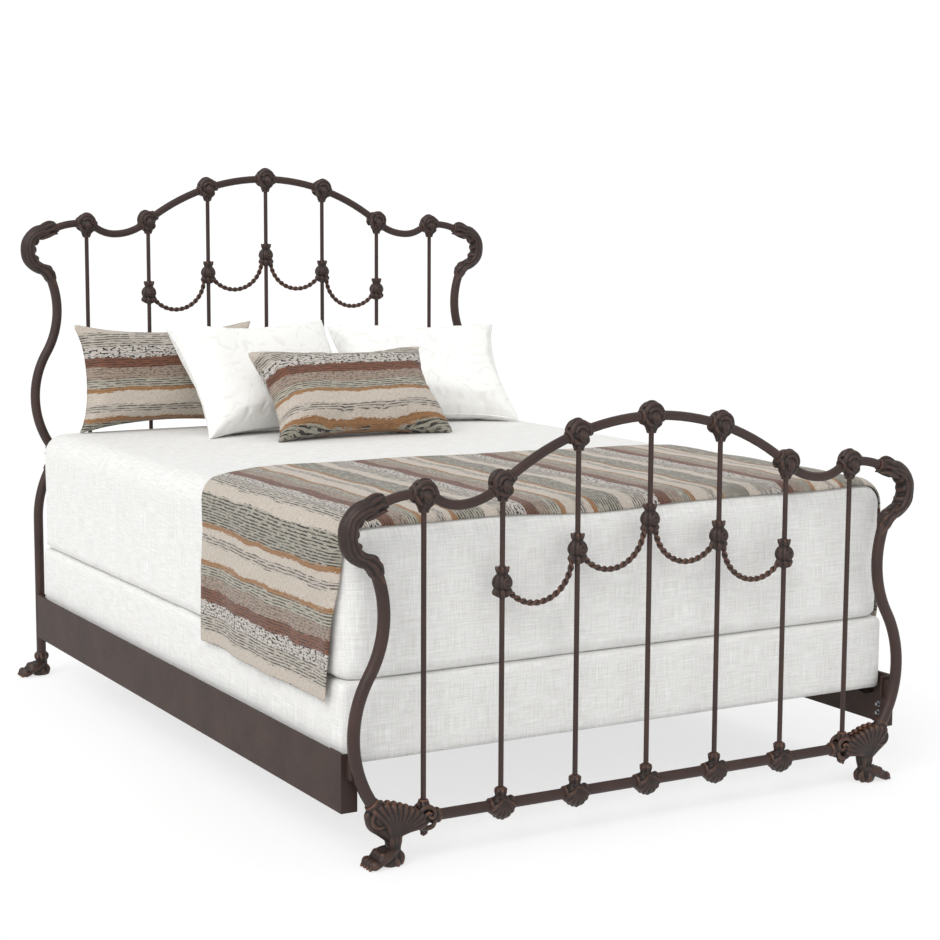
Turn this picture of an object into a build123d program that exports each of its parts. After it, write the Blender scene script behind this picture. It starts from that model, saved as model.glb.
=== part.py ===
from build123d import *
from math import asin, atan, atan2, cos, degrees, radians, sin, sqrt
import os

# Wrought iron bed, queen size, made up with its bedding. Millimetres, +Z up.
# X runs across the bed, -Y is the footboard and +Y the headboard. The floor is Z = 0 and
# the origin lies on it, under the middle of the bed.

# Overall layout: the mattress sets the width between the rails and the length between the boards
mattress_half_width = 760
mattress_length = 2028
mattress_front_gap = 50
mattress_head_gap = 35
rail_side_gap = 10
headboard_rise = 558

# Places across each board, as distances inwards from the line of the head legs
leg_setback = 18
dip_inset = 256
shoulder_inset = 146
corner_inset = 56
corner_bulge = 14
waist_inset = 72
hip_bulge = 1
fan_inset = 80
fan_length = 124
outer_spindle_inset = 36
ankle_inset = 94

# Top rail of the footboard
crest_z = 945
arch_radius = 655
dip_drop = 170.5
dip_outer_radius = 100
shoulder_rise = 31.5
shoulder_outer_radius = 200

# Side posts and head legs
waist_z = 550
waist_radius = 250
hip_z = 287
post_top_z = 668
post_end_z = 122
leg_bend_z = 480
leg_bend_radius = 315
leg_end_z = 645

# Tube, rod and rope sections, as radii
post_radius = 14
rail_radius = 11
bottom_rail_radius = 12.5
bottom_rail_z = 95.5
spindle_radius = 6
rope_radius = 6
rope_bend_share = 0.56
tube_wall = 2
cast_fit = 0.1
rod_end_gap = 8

# Castings
rail_knot_length = 64
rail_knot_radius = 27
rail_knot_end_radius = 18
cup_reach = 38
cup_radius = 13
cup_lip_radius = 10
rope_knot_heights = (709.5, 656, 597)
rope_knot_radius = 22
rope_knot_half_height = 32
rope_port_out = 15
rope_port_drop = 19
corner_casting_z = 727
corner_casting_radius = 21
collar_radius = 18
collar_length = 28
collar_overlap = 14
fan_bulb_radius = 29
rail_socket = 40
fan_root_half_width = 24
fan_root_half_depth = 20
fan_root_drop = 12

# Paw feet
ankle_z = 46
ankle_radius = 12.5
toe_count = 4
toe_pitch = 12.5
toe_reach = 62
toe_radius = 10
heel_radius = 20
foot_collar_z = 67
foot_collar_height = 18
foot_collar_radius = 21
leg_socket = 25

# Side rails, their brackets and fasteners
side_rail_height = 130
side_rail_bottom_z = 122
side_rail_plate = 4
ledge_width = 32
ledge_drop = 55
bracket_setback = 26
bracket_plate = 5
bracket_width = 39
bracket_leg = 60
bracket_boss_width = 22
bracket_boss_height = 44
bracket_boss_inset = 4
bracket_boss_share = 0.7
stud_clearance = 0.25
stud_radius = 4
stud_length = 20
stud_heights = (28, 50)
nut_width = 13
nut_thickness = 6.5
thread_fit = 0.05
ledge_end_gap = 6

# Slats and centre legs
slat_count = 4
slat_width = 40
slat_height = 20
slat_wall = 2
slat_end_gap = 2
screw_radius = 2.5
screw_length = 10
screw_head_radius = 5
screw_head_height = 2.5
center_leg_radius = 16
center_leg_bottom_z = 60
leg_plate_length = 64
leg_plate_thickness = 3
leg_plate_margin = 2
insert_length = 20
glide_screw_radius = 5
glide_screw_top_z = 112
glide_hex_width = 17
glide_hex_height = 6
glide_hex_gap = 2
pad_radius = 22
pad_height = 14
pad_socket_depth = 8

# Bedding
mattress_thickness = 344
mattress_edge_radius = 62
mattress_corner_radius = 60
box_spring_thickness = 181
box_spring_inset = 3
box_spring_edge_radius = 14
soft_gap = 0.3
throw_thickness = 6
throw_hem_z = 352
throw_front = 62
throw_length = 850
striped_pillow_size = (595, 350, 140)
white_pillow_size = (585, 430, 165)
pillow_draw_in = 20
striped_back_stance = (-0.493, 62, 7)
white_left_stance = (-0.179, 272, 39, 8)
white_right_stance = (0.567, 206, 46, -13)
striped_front_stance = (0.033, 513, 42)

# Sizes that follow from the ones above
board_gap = mattress_front_gap + mattress_length + mattress_head_gap
rail_inner_x = mattress_half_width + rail_side_gap
side_rail_x = rail_inner_x + side_rail_plate
leg_x = side_rail_x - leg_setback
dip_x = leg_x - dip_inset
shoulder_x = leg_x - shoulder_inset
corner_x = leg_x - corner_inset
corner_reach = leg_x + corner_bulge
waist_x = leg_x - waist_inset
hip_x = leg_x + hip_bulge
fan_x = leg_x - fan_inset
fan_inner_x = fan_x - fan_length
ankle_x = leg_x - ankle_inset
spindle_pitch = (fan_inner_x + outer_spindle_inset) / 3
rope_bend_radius = rope_bend_share * (spindle_pitch - 2 * rope_port_out)
spindle_places = [spindle_pitch * step for step in (-3, -2, -1, 0, 1, 2, 3)]
dip_z = crest_z - dip_drop
dip_turn = 2 * atan(dip_drop / dip_x)
dip_radius = dip_x / sin(dip_turn) - arch_radius
arch_end_x = arch_radius * sin(dip_turn)
shoulder_run = shoulder_x - dip_x
shoulder_turn = 2 * atan(shoulder_rise / shoulder_run)
shoulder_radius = shoulder_run / sin(shoulder_turn) - dip_outer_radius
dip_end_x = dip_x + dip_outer_radius * sin(shoulder_turn)
shoulder_z = dip_z + shoulder_rise
corner_turn = asin((corner_x - shoulder_x) / shoulder_outer_radius)
waist_turn = 2 * atan((hip_x - waist_x) / (waist_z - hip_z))
hip_radius = (waist_z - hip_z) / sin(waist_turn) - waist_radius
post_top_turn = asin((post_top_z - waist_z) / waist_radius)
post_end_turn = asin((hip_z - post_end_z) / hip_radius)
post_top_x = waist_x + waist_radius * (1 - cos(post_top_turn))
post_end_x = hip_x - hip_radius * (1 - cos(post_end_turn))
leg_bend_turn = asin((leg_end_z - leg_bend_z) / leg_bend_radius)
leg_end_x = leg_x - leg_bend_radius * (1 - cos(leg_bend_turn))
side_rail_top_z = side_rail_bottom_z + side_rail_height
ledge_top_z = side_rail_top_z - ledge_drop
slat_top_z = ledge_top_z + slat_height
box_spring_top_z = slat_top_z + box_spring_thickness
mattress_bottom_z = box_spring_top_z + soft_gap
mattress_top_z = mattress_bottom_z + mattress_thickness
foot_y = -board_gap / 2
head_y = board_gap / 2
mattress_front_y = foot_y + mattress_front_gap
mattress_mid_y = mattress_front_y + mattress_length / 2

os.makedirs("parts", exist_ok=True)


def save(part, name):
    part.label = name
    export_step(part, f"parts/{name}.step")


def save_pair(right_part, name):
    save(right_part, f"{name}_right")
    save(mirror(right_part, about=Plane.YZ), f"{name}_left")


def gather(parts):
    with BuildPart() as group:
        for part in parts:
            add(part)
    return group.part


# Shapes that several pieces share


def swept_tube(route, outer_radius, bore_radius=0):
    with BuildPart() as tube:
        with BuildSketch(Plane(origin=route @ 0, z_dir=route % 0)):
            Circle(outer_radius)
            if bore_radius > 0:
                Circle(bore_radius, mode=Mode.SUBTRACT)
        sweep(path=route)
    return tube.part


def straight_bar(start, end, radius):
    axis = Vector(*end) - Vector(*start)
    with BuildPart() as bar:
        with BuildSketch(Plane(origin=start, z_dir=axis)):
            Circle(radius)
        extrude(amount=axis.length)
    return bar.part


def turned(plane, outline):
    """Solid turned about the plane's X axis from (along, radius) points."""
    with BuildPart() as piece:
        with BuildSketch(plane):
            with BuildLine():
                Polyline([(outline[0][0], 0), *outline, (outline[-1][0], 0)], close=True)
            make_face()
        revolve(axis=Axis(plane.origin, plane.x_dir))
    return piece.part


def board_plane(board_y, rise):
    """Plane of one board: its X is the bed's X, its Y is height above the footboard's floor."""
    return Plane(origin=(0, board_y, rise), x_dir=(1, 0, 0), z_dir=(0, -1, 0))


# Routes of the bent tubes, drawn flat for the right-hand side of the footboard


def top_rail_route():
    with BuildLine() as route:
        arch = JernArc((0, crest_z), (1, 0), arch_radius, -degrees(dip_turn))
        dip_in = JernArc(arch @ 1, arch % 1, dip_radius, degrees(dip_turn))
        dip_out = JernArc(dip_in @ 1, dip_in % 1, dip_outer_radius, degrees(shoulder_turn))
        shoulder = JernArc(dip_out @ 1, dip_out % 1, shoulder_radius, -degrees(shoulder_turn))
        JernArc(shoulder @ 1, shoulder % 1, shoulder_outer_radius, -degrees(corner_turn))
    return route.wire()


def post_route():
    start = (post_top_x, post_top_z)
    heading = (-sin(post_top_turn), -cos(post_top_turn))
    with BuildLine() as route:
        waist = JernArc(start, heading, waist_radius, degrees(post_top_turn + waist_turn))
        JernArc(waist @ 1, waist % 1, hip_radius, -degrees(waist_turn + post_end_turn))
    return route.wire()


def leg_route(foot_z):
    with BuildLine() as route:
        shin = Line((leg_x, foot_z), (leg_x, leg_bend_z))
        JernArc(shin @ 1, shin % 1, leg_bend_radius, degrees(leg_bend_turn))
    return route.wire()


def rail_height(x):
    """Height of the top rail's centre line on the footboard, at a distance x from the middle."""
    x = abs(x)
    if x <= arch_end_x:
        return crest_z - arch_radius + sqrt(arch_radius**2 - x**2)
    if x <= dip_x:
        return dip_z + dip_radius - sqrt(dip_radius**2 - (dip_x - x) ** 2)
    if x <= dip_end_x:
        return dip_z + dip_outer_radius - sqrt(dip_outer_radius**2 - (x - dip_x) ** 2)
    if x <= shoulder_x:
        return shoulder_z - shoulder_radius + sqrt(shoulder_radius**2 - (shoulder_x - x) ** 2)
    return shoulder_z - shoulder_outer_radius + sqrt(shoulder_outer_radius**2 - (x - shoulder_x) ** 2)


def rail_slope(x):
    return atan2(rail_height(x + 1) - rail_height(x - 1), 2)


def rope_knot_height(x):
    return rope_knot_heights[round(abs(x) / spindle_pitch)]


# Castings


def rail_knot(board_y, x, z, slope, cup_side, rail_core):
    """Lobed casting round a rail, with the cup that a spindle enters below or above it."""
    half = rail_knot_length / 2
    along_rail = Plane(origin=(x, board_y, z), x_dir=(cos(slope), 0, sin(slope)), z_dir=(0, -1, 0))
    along_spindle = Plane(origin=(x, board_y, z), x_dir=(0, 0, cup_side), z_dir=(0, -1, 0))
    with BuildPart() as knot:
        add(turned(along_rail, [
            (-half, rail_knot_end_radius - 3),
            (-half * 0.85, rail_knot_end_radius),
            (-half * 0.66, rail_knot_end_radius - 2),
            (-half * 0.5, rail_knot_radius - 4),
            (-half * 0.22, rail_knot_radius),
            (half * 0.22, rail_knot_radius),
            (half * 0.5, rail_knot_radius - 4),
            (half * 0.66, rail_knot_end_radius - 2),
            (half * 0.85, rail_knot_end_radius),
            (half, rail_knot_end_radius - 3),
        ]))
        add(turned(along_spindle, [
            (-rail_knot_radius - 5, cup_lip_radius),
            (-rail_knot_radius + 4, cup_radius + 4),
            (rail_knot_radius - 6, cup_radius + 3),
            (rail_knot_radius, cup_lip_radius),
            (cup_reach - 5, cup_radius),
            (cup_reach, cup_lip_radius),
        ]))
        add(rail_core, mode=Mode.SUBTRACT)
        with Locations((x, board_y, z + cup_side * cup_reach)):
            Cylinder(spindle_radius + cast_fit, 2 * cup_reach, mode=Mode.SUBTRACT)
    return knot.part


def rope_knot(board_y, x, z, ropes_core):
    """Bulb on a spindle with a flared crown above and the collar that the ropes leave below."""
    top = rope_knot_half_height
    upright = Plane(origin=(x, board_y, z), x_dir=(0, 0, 1), z_dir=(0, -1, 0))
    with BuildPart() as knot:
        add(turned(upright, [
            (-top, spindle_radius + 3),
            (-top * 0.85, rope_knot_radius * 0.75),
            (-top * 0.6, rope_knot_radius * 0.95),
            (-top * 0.38, rope_knot_radius * 0.6),
            (-top * 0.2, rope_knot_radius * 0.85),
            (top * 0.08, rope_knot_radius),
            (top * 0.38, rope_knot_radius * 0.8),
            (top * 0.6, rope_knot_radius * 0.45),
            (top * 0.85, rope_knot_radius * 0.62),
            (top, rope_knot_radius * 0.6),
        ]))
        add(ropes_core, mode=Mode.SUBTRACT)
        with Locations((x, board_y, z)):
            Cylinder(spindle_radius + cast_fit, 3 * rope_knot_half_height, mode=Mode.SUBTRACT)
    return knot.part


def collar(plane, end_x, end_z, lean_x, lean_z, length=collar_length):
    """Sleeve round a tube's end, from the end back along the tube."""
    start = plane.from_local_coords(Vector(end_x, end_z, 0))
    finish = plane.from_local_coords(Vector(end_x + lean_x * length, end_z + lean_z * length, 0))
    return straight_bar(tuple(start), tuple(finish), collar_radius)


def corner_casting(plane, cores):
    """Leaf casting that turns from the top rail's end, round the corner, to the post's top."""
    rail_end = (corner_x, rail_height(corner_x))
    post_top = (post_top_x, post_top_z)
    with BuildLine() as bend:
        ThreePointArc(rail_end, (corner_reach, corner_casting_z), post_top)
    route = plane.from_local_coords(bend.wire())
    with BuildPart() as casting:
        add(swept_tube(route, corner_casting_radius))
        with Locations(route @ 0, route @ 1):
            Sphere(corner_casting_radius + 1)
        add(collar(plane, *rail_end, -cos(corner_turn), sin(corner_turn)))
        add(collar(plane, *post_top, -sin(post_top_turn), -cos(post_top_turn)))
        for core in cores:
            add(core, mode=Mode.SUBTRACT)
    return casting.part


def fan_body(plane, board_y, rise):
    """Shell-shaped casting from the bottom rail's end out to the post's lower end."""
    rail_z = bottom_rail_z + rise
    along_rail = Plane(origin=(fan_inner_x, board_y, rail_z), x_dir=(1, 0, 0), z_dir=(0, -1, 0))
    reach = fan_x - fan_inner_x
    with BuildPart() as body:
        add(turned(along_rail, [
            (0, bottom_rail_radius + 3),
            (8, bottom_rail_radius + 6),
            (16, bottom_rail_radius + 4),
            (reach * 0.45, fan_bulb_radius * 0.82),
            (reach * 0.8, fan_bulb_radius),
            (reach + 4, fan_bulb_radius * 0.95),
            (reach + 20, fan_bulb_radius * 0.72),
            (reach + 30, fan_bulb_radius * 0.3),
        ]))
        with Locations((spindle_places[-1], board_y, rail_z + cup_reach / 2)):
            Cylinder(cup_radius, cup_reach)
        add(collar(plane, post_end_x, post_end_z, sin(post_end_turn), cos(post_end_turn)))
        add(collar(plane, post_end_x, post_end_z, -sin(post_end_turn), -cos(post_end_turn), collar_overlap))
    return body.part


def paw(x, board_y):
    """Paw with its toes pointing away from the bed, cut flat at the floor."""
    with BuildPart() as foot:
        with BuildSketch(Plane.XY.offset(ankle_z).move(Location((x, board_y, 0)))):
            Circle(ankle_radius)
        with BuildSketch(Plane.XY.offset(ankle_z / 2).move(Location((x + 3, board_y, 0)))):
            Circle(heel_radius)
        with BuildSketch(Plane.XY.move(Location((x + 5, board_y, 0)))):
            Circle(heel_radius + 2)
        loft()
        for toe in range(toe_count):
            spread = (toe - (toe_count - 1) / 2) * toe_pitch
            knuckle = (x + toe_reach * 0.6, board_y + spread, 2 * toe_radius - 3)
            tip = (x + toe_reach, board_y + spread * 1.15, toe_radius - 0.5)
            add(straight_bar((x + 4, board_y + spread * 0.6, 2.4 * toe_radius), knuckle, toe_radius))
            add(straight_bar(knuckle, tip, toe_radius * 0.85))
            with Locations(knuckle, tip):
                Sphere(toe_radius)
        split(bisect_by=Plane.XY, keep=Keep.TOP)
    return foot.part


def bored(body, cores):
    with BuildPart() as piece:
        add(body)
        for core in cores:
            add(core, mode=Mode.SUBTRACT)
    return piece.part


# Both boards share one pattern: the headboard is the footboard raised, on its own legs

for board, board_y, rise in (("foot", foot_y, 0), ("head", head_y, headboard_rise)):
    plane = board_plane(board_y, rise)
    rail_z = bottom_rail_z + rise

    half_rail_route = plane.from_local_coords(top_rail_route())
    half_rail = swept_tube(half_rail_route, rail_radius, rail_radius - tube_wall)
    with BuildPart() as top_rail:
        add(half_rail)
        mirror(about=Plane.YZ)
    save(top_rail.part, f"{board}_top_rail")
    with BuildPart() as top_rail_core:
        add(swept_tube(half_rail_route, rail_radius + cast_fit))
        mirror(about=Plane.YZ)

    rail_end_x = fan_inner_x + rail_socket
    with BuildPart() as bottom_rail:
        with Locations(Location((0, board_y, rail_z), (0, 90, 0))):
            Cylinder(bottom_rail_radius, 2 * rail_end_x)
            Cylinder(bottom_rail_radius - tube_wall, 2 * rail_end_x, mode=Mode.SUBTRACT)
    save(bottom_rail.part, f"{board}_bottom_rail")
    with BuildPart() as bottom_rail_core:
        with Locations(Location((0, board_y, rail_z), (0, 90, 0))):
            Cylinder(bottom_rail_radius + cast_fit, 2 * rail_end_x)

    post_line = plane.from_local_coords(post_route())
    save_pair(swept_tube(post_line, post_radius, post_radius - tube_wall), f"{board}_post")
    post_core = swept_tube(post_line, post_radius + cast_fit)

    with BuildPart() as spindles:
        for x in spindle_places:
            low = rail_z + bottom_rail_radius + rod_end_gap
            high = rail_height(x) + rise - rail_radius - rod_end_gap
            with Locations((x, board_y, (low + high) / 2)):
                Cylinder(spindle_radius, high - low)
    save(spindles.part, f"{board}_spindles")
    outer_spindle_core = straight_bar(
        (spindle_places[-1], board_y, rail_z + bottom_rail_radius + rod_end_gap),
        (spindle_places[-1], board_y, rail_z + 2 * cup_reach),
        spindle_radius + cast_fit,
    )

    save(gather([
        rail_knot(board_y, x, rail_height(x) + rise, rail_slope(x), -1, top_rail_core.part)
        for x in spindle_places
    ]), f"{board}_rail_knots")
    save(gather([
        rail_knot(board_y, x, rail_z, 0, 1, bottom_rail_core.part) for x in spindle_places[1:-1]
    ]), f"{board}_bottom_knots")

    rope_routes = []
    for x in spindle_places[1:-2]:
        left_port = (x + rope_port_out, rope_knot_height(x) - rope_port_drop)
        next_x = x + spindle_pitch
        right_port = (next_x - rope_port_out, rope_knot_height(next_x) - rope_port_drop)
        with BuildLine() as sag:
            RadiusArc(left_port, right_port, -rope_bend_radius)
        rope_routes.append(plane.from_local_coords(sag.wire()))
    save(gather([swept_tube(route, rope_radius) for route in rope_routes]), f"{board}_rope_swags")
    ropes_core = gather([swept_tube(route, rope_radius + cast_fit) for route in rope_routes])
    save(gather([
        rope_knot(board_y, x, rope_knot_height(x) + rise, ropes_core) for x in spindle_places[1:-1]
    ]), f"{board}_rope_knots")

    save_pair(corner_casting(plane, [top_rail_core.part, post_core]), f"{board}_corner_casting")

    fan = fan_body(plane, board_y, rise)
    fan_cores = [bottom_rail_core.part, post_core, outer_spindle_core]
    if board == "foot":
        with BuildPart() as claw_foot:
            add(fan)
            fan_root = Location((fan_x, board_y, bottom_rail_z - fan_root_drop))
            with BuildSketch(Plane.XY.move(fan_root)):
                Ellipse(fan_root_half_width, fan_root_half_depth)
            with BuildSketch(Plane.XY.offset(ankle_z).move(Location((ankle_x, board_y, 0)))):
                Circle(ankle_radius)
            loft()
            add(paw(ankle_x, board_y))
            for core in fan_cores:
                add(core, mode=Mode.SUBTRACT)
        save_pair(claw_foot.part, "claw_foot")
    else:
        flat_leg_plane = board_plane(board_y, 0)
        leg_foot_z = foot_collar_z - leg_socket
        leg_line = flat_leg_plane.from_local_coords(leg_route(leg_foot_z))
        save_pair(swept_tube(leg_line, post_radius, post_radius - tube_wall), "head_leg")
        leg_core = swept_tube(leg_line, post_radius + cast_fit)
        leg_end = (flat_leg_plane, leg_end_x, leg_end_z)
        lower_body = gather([
            fan,
            collar(*leg_end, sin(leg_bend_turn), -cos(leg_bend_turn)),
            collar(*leg_end, -sin(leg_bend_turn), cos(leg_bend_turn), collar_overlap),
        ])
        save_pair(bored(lower_body, fan_cores + [leg_core]), "head_lower_casting")
        with BuildPart() as leg_foot:
            add(paw(leg_x, board_y))
            with Locations((leg_x, board_y, foot_collar_z - foot_collar_height / 2)):
                Cylinder(foot_collar_radius, foot_collar_height)
            with Locations((leg_x, board_y, foot_collar_z / 2)):
                Cylinder(collar_radius, foot_collar_z - 2)
            add(leg_core, mode=Mode.SUBTRACT)
        save_pair(leg_foot.part, "head_foot")


# Side rails: a deep plate outside, with a ledge inside that carries the slats

rail_start_y = foot_y + bracket_setback + bracket_plate
rail_length = -2 * rail_start_y
ledge_length = rail_length - 2 * (bracket_leg + ledge_end_gap)
rail_mid_z = side_rail_bottom_z + side_rail_height / 2
slat_gap = board_gap / (slat_count + 1)
slat_places = [foot_y + slat_gap * (slat + 1) for slat in range(slat_count)]
ledge_screw_x = rail_inner_x - ledge_width / 2
with BuildPart() as side_rail:
    with Locations((side_rail_x - side_rail_plate / 2, 0, rail_mid_z)):
        Box(side_rail_plate, rail_length, side_rail_height)
    with Locations((rail_inner_x - ledge_width / 2, 0, ledge_top_z - side_rail_plate / 2)):
        Box(ledge_width, ledge_length, side_rail_plate)
    with Locations(*[(ledge_screw_x, y, ledge_top_z) for y in slat_places]):
        Cylinder(screw_radius + cast_fit, 3 * side_rail_plate, mode=Mode.SUBTRACT)
save_pair(side_rail.part, "side_rail")


# Corner brackets: a plate across the rail's end, a boss welded to the post and a leg inside the rail


def rail_bracket(board_y, inward, tube_core):
    plate_y = board_y + inward * (bracket_setback + bracket_plate / 2)
    leg_y = board_y + inward * (bracket_setback + bracket_plate + bracket_leg / 2)
    boss_y = board_y + inward * bracket_setback / 2
    boss_z = side_rail_top_z - bracket_boss_height * bracket_boss_share
    with BuildPart() as bracket:
        with Locations((side_rail_x - bracket_width / 2, plate_y, rail_mid_z)):
            Box(bracket_width, bracket_plate, side_rail_height)
        with Locations((rail_inner_x - bracket_plate / 2, leg_y, rail_mid_z)):
            Box(bracket_plate, bracket_leg, side_rail_height)
        with Locations((leg_x - bracket_boss_inset, boss_y, boss_z)):
            Box(bracket_boss_width, bracket_setback, bracket_boss_height)
        add(tube_core, mode=Mode.SUBTRACT)
        with Locations(*stud_locations(board_y, inward, rail_inner_x)):
            Cylinder(stud_radius + stud_clearance, 4 * bracket_plate, mode=Mode.SUBTRACT)
        front_block = Plane.XZ.offset(-board_y)
        split(bisect_by=front_block, keep=Keep.BOTTOM if inward > 0 else Keep.TOP)
    return bracket.part


def stud_locations(board_y, inward, x):
    y = board_y + inward * (bracket_setback + bracket_plate + bracket_leg / 2)
    return [Location((x, y, side_rail_bottom_z + up), (0, 90, 0)) for up in stud_heights]


leg_tool = swept_tube(board_plane(head_y, 0).from_local_coords(leg_route(0)), post_radius + cast_fit)
post_tool = swept_tube(board_plane(foot_y, 0).from_local_coords(post_route()), post_radius + cast_fit)
for board, board_y, inward, tube_core in (("foot", foot_y, 1, post_tool), ("head", head_y, -1, leg_tool)):
    right_bracket = rail_bracket(board_y, inward, tube_core)
    save(gather([right_bracket, mirror(right_bracket, about=Plane.YZ)]), f"{board}_rail_brackets")

with BuildPart() as rail_studs:
    for board_y, inward in ((foot_y, 1), (head_y, -1)):
        with Locations(*stud_locations(board_y, inward, rail_inner_x - stud_length / 2)):
            Cylinder(stud_radius, stud_length)
    mirror(about=Plane.YZ)
save(rail_studs.part, "rail_studs")

nut_x = rail_inner_x - bracket_plate - nut_thickness
with BuildPart() as rail_nuts:
    for board_y, inward in ((foot_y, 1), (head_y, -1)):
        for place in stud_locations(board_y, inward, nut_x):
            with BuildSketch(Plane(place)):
                RegularPolygon(nut_width / 2, 6, major_radius=False)
                Circle(stud_radius + thread_fit, mode=Mode.SUBTRACT)
            extrude(amount=nut_thickness)
    mirror(about=Plane.YZ)
save(rail_nuts.part, "rail_nuts")


# Slats across the ledges, the centre legs under the middle two and their levelling glides

slat_half = rail_inner_x - slat_end_gap
leg_screw_x = leg_plate_length / 2 - screw_head_radius - leg_plate_margin / 2
middle_slats = slat_places[1:3]
for slat, y in enumerate(slat_places, start=1):
    screw_places = [(-ledge_screw_x, y), (ledge_screw_x, y)]
    if y in middle_slats:
        screw_places += [(-leg_screw_x, y), (leg_screw_x, y)]
    with BuildPart() as cross_slat:
        with BuildSketch(Plane((-slat_half, y, ledge_top_z + slat_height / 2), (0, 1, 0), (1, 0, 0))):
            Rectangle(slat_width, slat_height)
            Rectangle(slat_width - 2 * slat_wall, slat_height - 2 * slat_wall, mode=Mode.SUBTRACT)
        extrude(amount=2 * slat_half)
        with Locations(*[(x, place_y, ledge_top_z) for x, place_y in screw_places]):
            Cylinder(screw_radius + thread_fit, 3 * slat_wall, mode=Mode.SUBTRACT)
    save(cross_slat.part, f"cross_slat_{slat}")


def slat_screw(x, y, seat_z):
    with BuildPart() as screw:
        with Locations((x, y, seat_z + screw_length / 2)):
            Cylinder(screw_radius, screw_length)
        with Locations((x, y, seat_z - screw_head_height / 2)):
            Cylinder(screw_head_radius, screw_head_height)
    return screw.part


save(gather(
    [slat_screw(side * ledge_screw_x, y, ledge_top_z - side_rail_plate)
     for y in slat_places for side in (-1, 1)]
    + [slat_screw(side * leg_screw_x, y, ledge_top_z - leg_plate_thickness)
       for y in middle_slats for side in (-1, 1)]
), "slat_screws")

leg_height = ledge_top_z - leg_plate_thickness - center_leg_bottom_z
leg_bore = center_leg_radius - tube_wall
for leg, y in enumerate(middle_slats, start=1):
    with BuildPart() as center_leg:
        with BuildSketch(Plane.XY.offset(center_leg_bottom_z)):
            with Locations((0, y)):
                Circle(center_leg_radius)
                Circle(leg_bore, mode=Mode.SUBTRACT)
        extrude(amount=leg_height)
        with Locations((0, y, ledge_top_z - leg_plate_thickness / 2)):
            Box(leg_plate_length, slat_width - 2 * leg_plate_margin, leg_plate_thickness)
        with Locations((-leg_screw_x, y, ledge_top_z), (leg_screw_x, y, ledge_top_z)):
            Cylinder(screw_radius + cast_fit, 3 * leg_plate_thickness, mode=Mode.SUBTRACT)
    save(center_leg.part, f"center_leg_{leg}")

    with BuildPart() as leg_insert:
        with Locations((0, y, center_leg_bottom_z + insert_length / 2)):
            Cylinder(leg_bore - thread_fit, insert_length)
            Cylinder(glide_screw_radius + thread_fit, insert_length, mode=Mode.SUBTRACT)
    save(leg_insert.part, f"leg_insert_{leg}")

    socket_floor_z = pad_height - pad_socket_depth
    screw_bottom_z = socket_floor_z + thread_fit
    with BuildPart() as glide_screw:
        with Locations((0, y, (screw_bottom_z + glide_screw_top_z) / 2)):
            Cylinder(glide_screw_radius, glide_screw_top_z - screw_bottom_z)
        with BuildSketch(Plane.XY.offset(pad_height + glide_hex_gap)):
            with Locations((0, y)):
                RegularPolygon(glide_hex_width / 2, 6, major_radius=False)
        extrude(amount=glide_hex_height)
    save(glide_screw.part, f"glide_screw_{leg}")

    with BuildPart() as glide_pad:
        with Locations((0, y, pad_height / 2)):
            Cylinder(pad_radius, pad_height)
        fillet(glide_pad.edges().group_by(Axis.Z)[-1], pad_height / 3)
        with Locations((0, y, socket_floor_z + pad_height / 2)):
            Cylinder(glide_screw_radius + thread_fit, pad_height, mode=Mode.SUBTRACT)
    save(glide_pad.part, f"glide_pad_{leg}")


# Bedding


def mattress_form(grow, bottom_z):
    """The mattress's rounded block, grown by a skin of the given thickness on its top and sides."""
    half_width = mattress_half_width + grow
    half_length = mattress_length / 2 + grow
    top_z = mattress_top_z + grow
    height = top_z - bottom_z
    radius = mattress_edge_radius + grow
    middle = (0, mattress_mid_y, (top_z + bottom_z) / 2)
    with BuildPart() as block:
        with BuildSketch(Plane.XY.offset(bottom_z)):
            with Locations((0, mattress_mid_y)):
                RectangleRounded(2 * half_width, 2 * half_length, mattress_corner_radius + grow)
        extrude(amount=height)
        with BuildSketch(Plane(origin=middle, x_dir=(1, 0, 0), z_dir=(0, -1, 0))) as ends:
            Rectangle(2 * half_width, height)
            fillet(ends.vertices().group_by(Axis.Y)[-1], radius)
        extrude(amount=half_length + 1, both=True, mode=Mode.INTERSECT)
        with BuildSketch(Plane(origin=middle, x_dir=(0, 1, 0), z_dir=(1, 0, 0))) as sides:
            Rectangle(2 * half_length, height)
            fillet(sides.vertices().group_by(Axis.Y)[-1], radius)
        extrude(amount=half_width + 1, both=True, mode=Mode.INTERSECT)
    return block.part


save(mattress_form(0, mattress_bottom_z), "mattress")

with BuildPart() as box_spring:
    with BuildSketch(Plane.XY.offset(slat_top_z)):
        with Locations((0, mattress_mid_y)):
            RectangleRounded(
                2 * (mattress_half_width - box_spring_inset),
                mattress_length - 2 * box_spring_inset,
                mattress_corner_radius - box_spring_inset,
            )
    extrude(amount=box_spring_thickness)
    fillet(box_spring.edges().group_by(Axis.Z)[-1], box_spring_edge_radius)
    fillet(box_spring.edges().group_by(Axis.Z)[0], box_spring_edge_radius / 2)
save(box_spring.part, "box_spring")

throw_mid_y = foot_y + throw_front + throw_length / 2
with BuildPart() as throw:
    add(mattress_form(soft_gap + throw_thickness, throw_hem_z))
    with Locations((0, throw_mid_y, (throw_hem_z + mattress_top_z) / 2)):
        Box(3 * mattress_half_width, throw_length, 2 * mattress_top_z, mode=Mode.INTERSECT)
    add(mattress_form(soft_gap, throw_hem_z), mode=Mode.SUBTRACT)
save(throw.part, "throw")


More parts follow.
